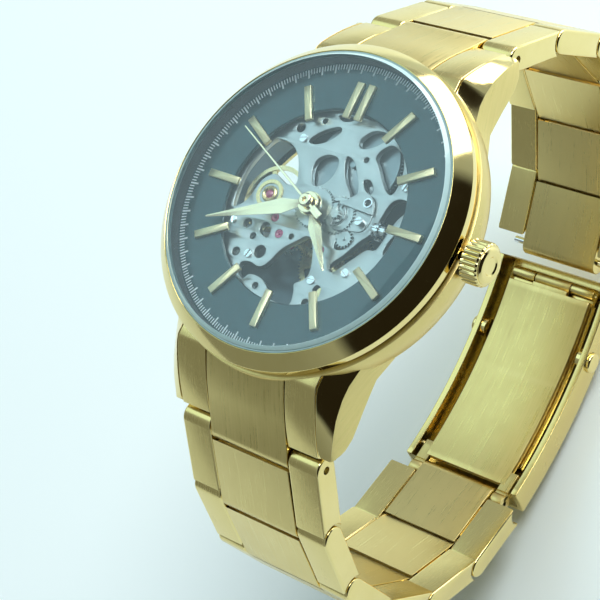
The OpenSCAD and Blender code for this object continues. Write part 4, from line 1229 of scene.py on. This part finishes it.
def build_world():
    """A pale studio, dark on the crown's side, where the camera stands, and duller by 7 o'clock."""
    world = bpy.data.worlds.new("studio")
    scene.world = world
    world.use_nodes = True
    tree = world.node_tree
    tree.nodes.clear()
    out = tree.nodes.new("ShaderNodeOutputWorld")
    back = tree.nodes.new("ShaderNodeBackground")
    coords = tree.nodes.new("ShaderNodeTexCoord")

    def shade(way, stops):
        """A colour by how near a direction is to a given way."""
        dot = tree.nodes.new("ShaderNodeVectorMath")
        dot.operation = "DOT_PRODUCT"
        dot.inputs[1].default_value = Vector(way).normalized()
        ramp = tree.nodes.new("ShaderNodeValToRGB")
        for element, (at, colour) in zip(ramp.color_ramp.elements, stops):
            element.position = at
            element.color = (*colour, 1)
        tree.links.new(coords.outputs["Generated"], dot.inputs[0])
        tree.links.new(dot.outputs["Value"], ramp.inputs["Fac"])
        return ramp.outputs["Color"]

    crown_side = shade((0.88, -0.12, 0.46), [(0.54, (0.76, 0.90, 0.94)), (0.64, (0.035, 0.03, 0.02))])
    seven_side = shade((-0.55, -0.85, 0.05), [(0.35, (1.0, 1.0, 1.0)), (0.85, (0.62, 0.60, 0.54))])
    both = tree.nodes.new("ShaderNodeMix")
    both.data_type = "RGBA"
    both.blend_type = "MULTIPLY"
    both.inputs["Factor"].default_value = 1.0
    tree.links.new(crown_side, both.inputs[6])
    tree.links.new(seven_side, both.inputs[7])
    tree.links.new(both.outputs[2], back.inputs["Color"])
    back.inputs["Strength"].default_value = 0.50
    tree.links.new(back.outputs["Background"], out.inputs["Surface"])


def area_light(name, at, towards, size, watts, colour=(1, 1, 1)):
    light = bpy.data.lights.new(name, "AREA")
    light.shape = "RECTANGLE"
    light.size, light.size_y = size[0] * MM, size[1] * MM
    light.energy = watts
    light.color = colour
    obj = bpy.data.objects.new(name, light)
    scene.collection.objects.link(obj)
    obj.location = Vector(at) * MM
    obj.rotation_euler = (Vector(towards) * MM - obj.location).to_track_quat("-Z", "Y").to_euler()


def build_lights():
    area_light("window_12h", (40, 330, 90), (0, 10, 5), (260, 240), 0.75, (1.0, 1.0, 0.98))
    area_light("overhead_left", (-230, 60, 300), (0, 0, 0), (300, 300), 0.27, (0.62, 0.93, 1.0))
    sky = bpy.data.lights.new("soft_sky", "SUN")
    sky.energy = 1.7
    sky.angle = math.radians(35)
    sky.color = (0.93, 1.0, 1.0)
    obj = bpy.data.objects.new("soft_sky", sky)
    scene.collection.objects.link(obj)
    obj.rotation_euler = Vector((-0.25, -0.5, -1)).to_track_quat("-Z", "Y").to_euler()


def build_camera():
    """The camera stands over the crown's side and leans, so that 12 points up and to the right."""
    camera = bpy.data.cameras.new("camera")
    camera.lens = 103.46
    camera.sensor_width = 36
    camera.clip_start = 0.01
    camera.clip_end = 20
    obj = bpy.data.objects.new("camera", camera)
    scene.collection.objects.link(obj)
    right = Vector((0.76222, 0.42549, -0.48783))
    up = Vector((-0.27534, 0.89515, 0.35055))
    back = Vector((0.58584, -0.13288, 0.79946))
    turn = Matrix((right, up, back)).transposed().to_4x4()
    obj.matrix_world = Matrix.Translation(Vector((122.469, -38.051, 169.775)) * MM) @ turn
    scene.camera = obj


def finish_cad_nodes():
    """Gives each CAD node that stays in view its material."""
    finishes = {
        gold_satin: ["case_back"],
        gold_polished: ["crown_tube"],
        back_glass: ["case_back_glass"],
        rubber_black: ["case_back_gasket"],
        # painted shade: movement ring and train bridge take the dark plate colour
        plate_painted_shade: ["movement_ring", "train_bridge"],
        plate_silver: ["balance_cock", "hour_wheel", "minute_wheel", "setting_wheel"],
        # painted shade: the barrel takes the darkened grey plate colour
        plate_grey_painted_shade: ["barrel"],
        plate_striped: ["rotor"],
        train_brass: ["cannon_pinion", "centre_wheel", "third_wheel", "fourth_wheel", "balance_wheel"],
        blued: ["mainspring", "hairspring"],
        steel_bright: ["rotor_bearing", "spring_bars", "stem", "winding_pinion", "escape_wheel",
                       "pallet_fork"],
    }
    for material, nodes in finishes.items():
        for node in nodes:
            obj = frame["nodes"][node]
            obj.data.materials.clear()
            obj.data.materials.append(material)


build_camera()
build_case()
build_bezel()
build_crystal()
build_gasket_and_flange()
build_dial()
build_markers()
build_plate()
build_setting_plate()
build_hands()
build_crown()
build_links()
build_end_links()
build_clasp_cover()
build_outer_leaf()
build_inner_leaf()
build_buttons()
finish_cad_nodes()
build_stage()
build_world()
build_lights()
scene.view_settings.view_transform = "Standard"
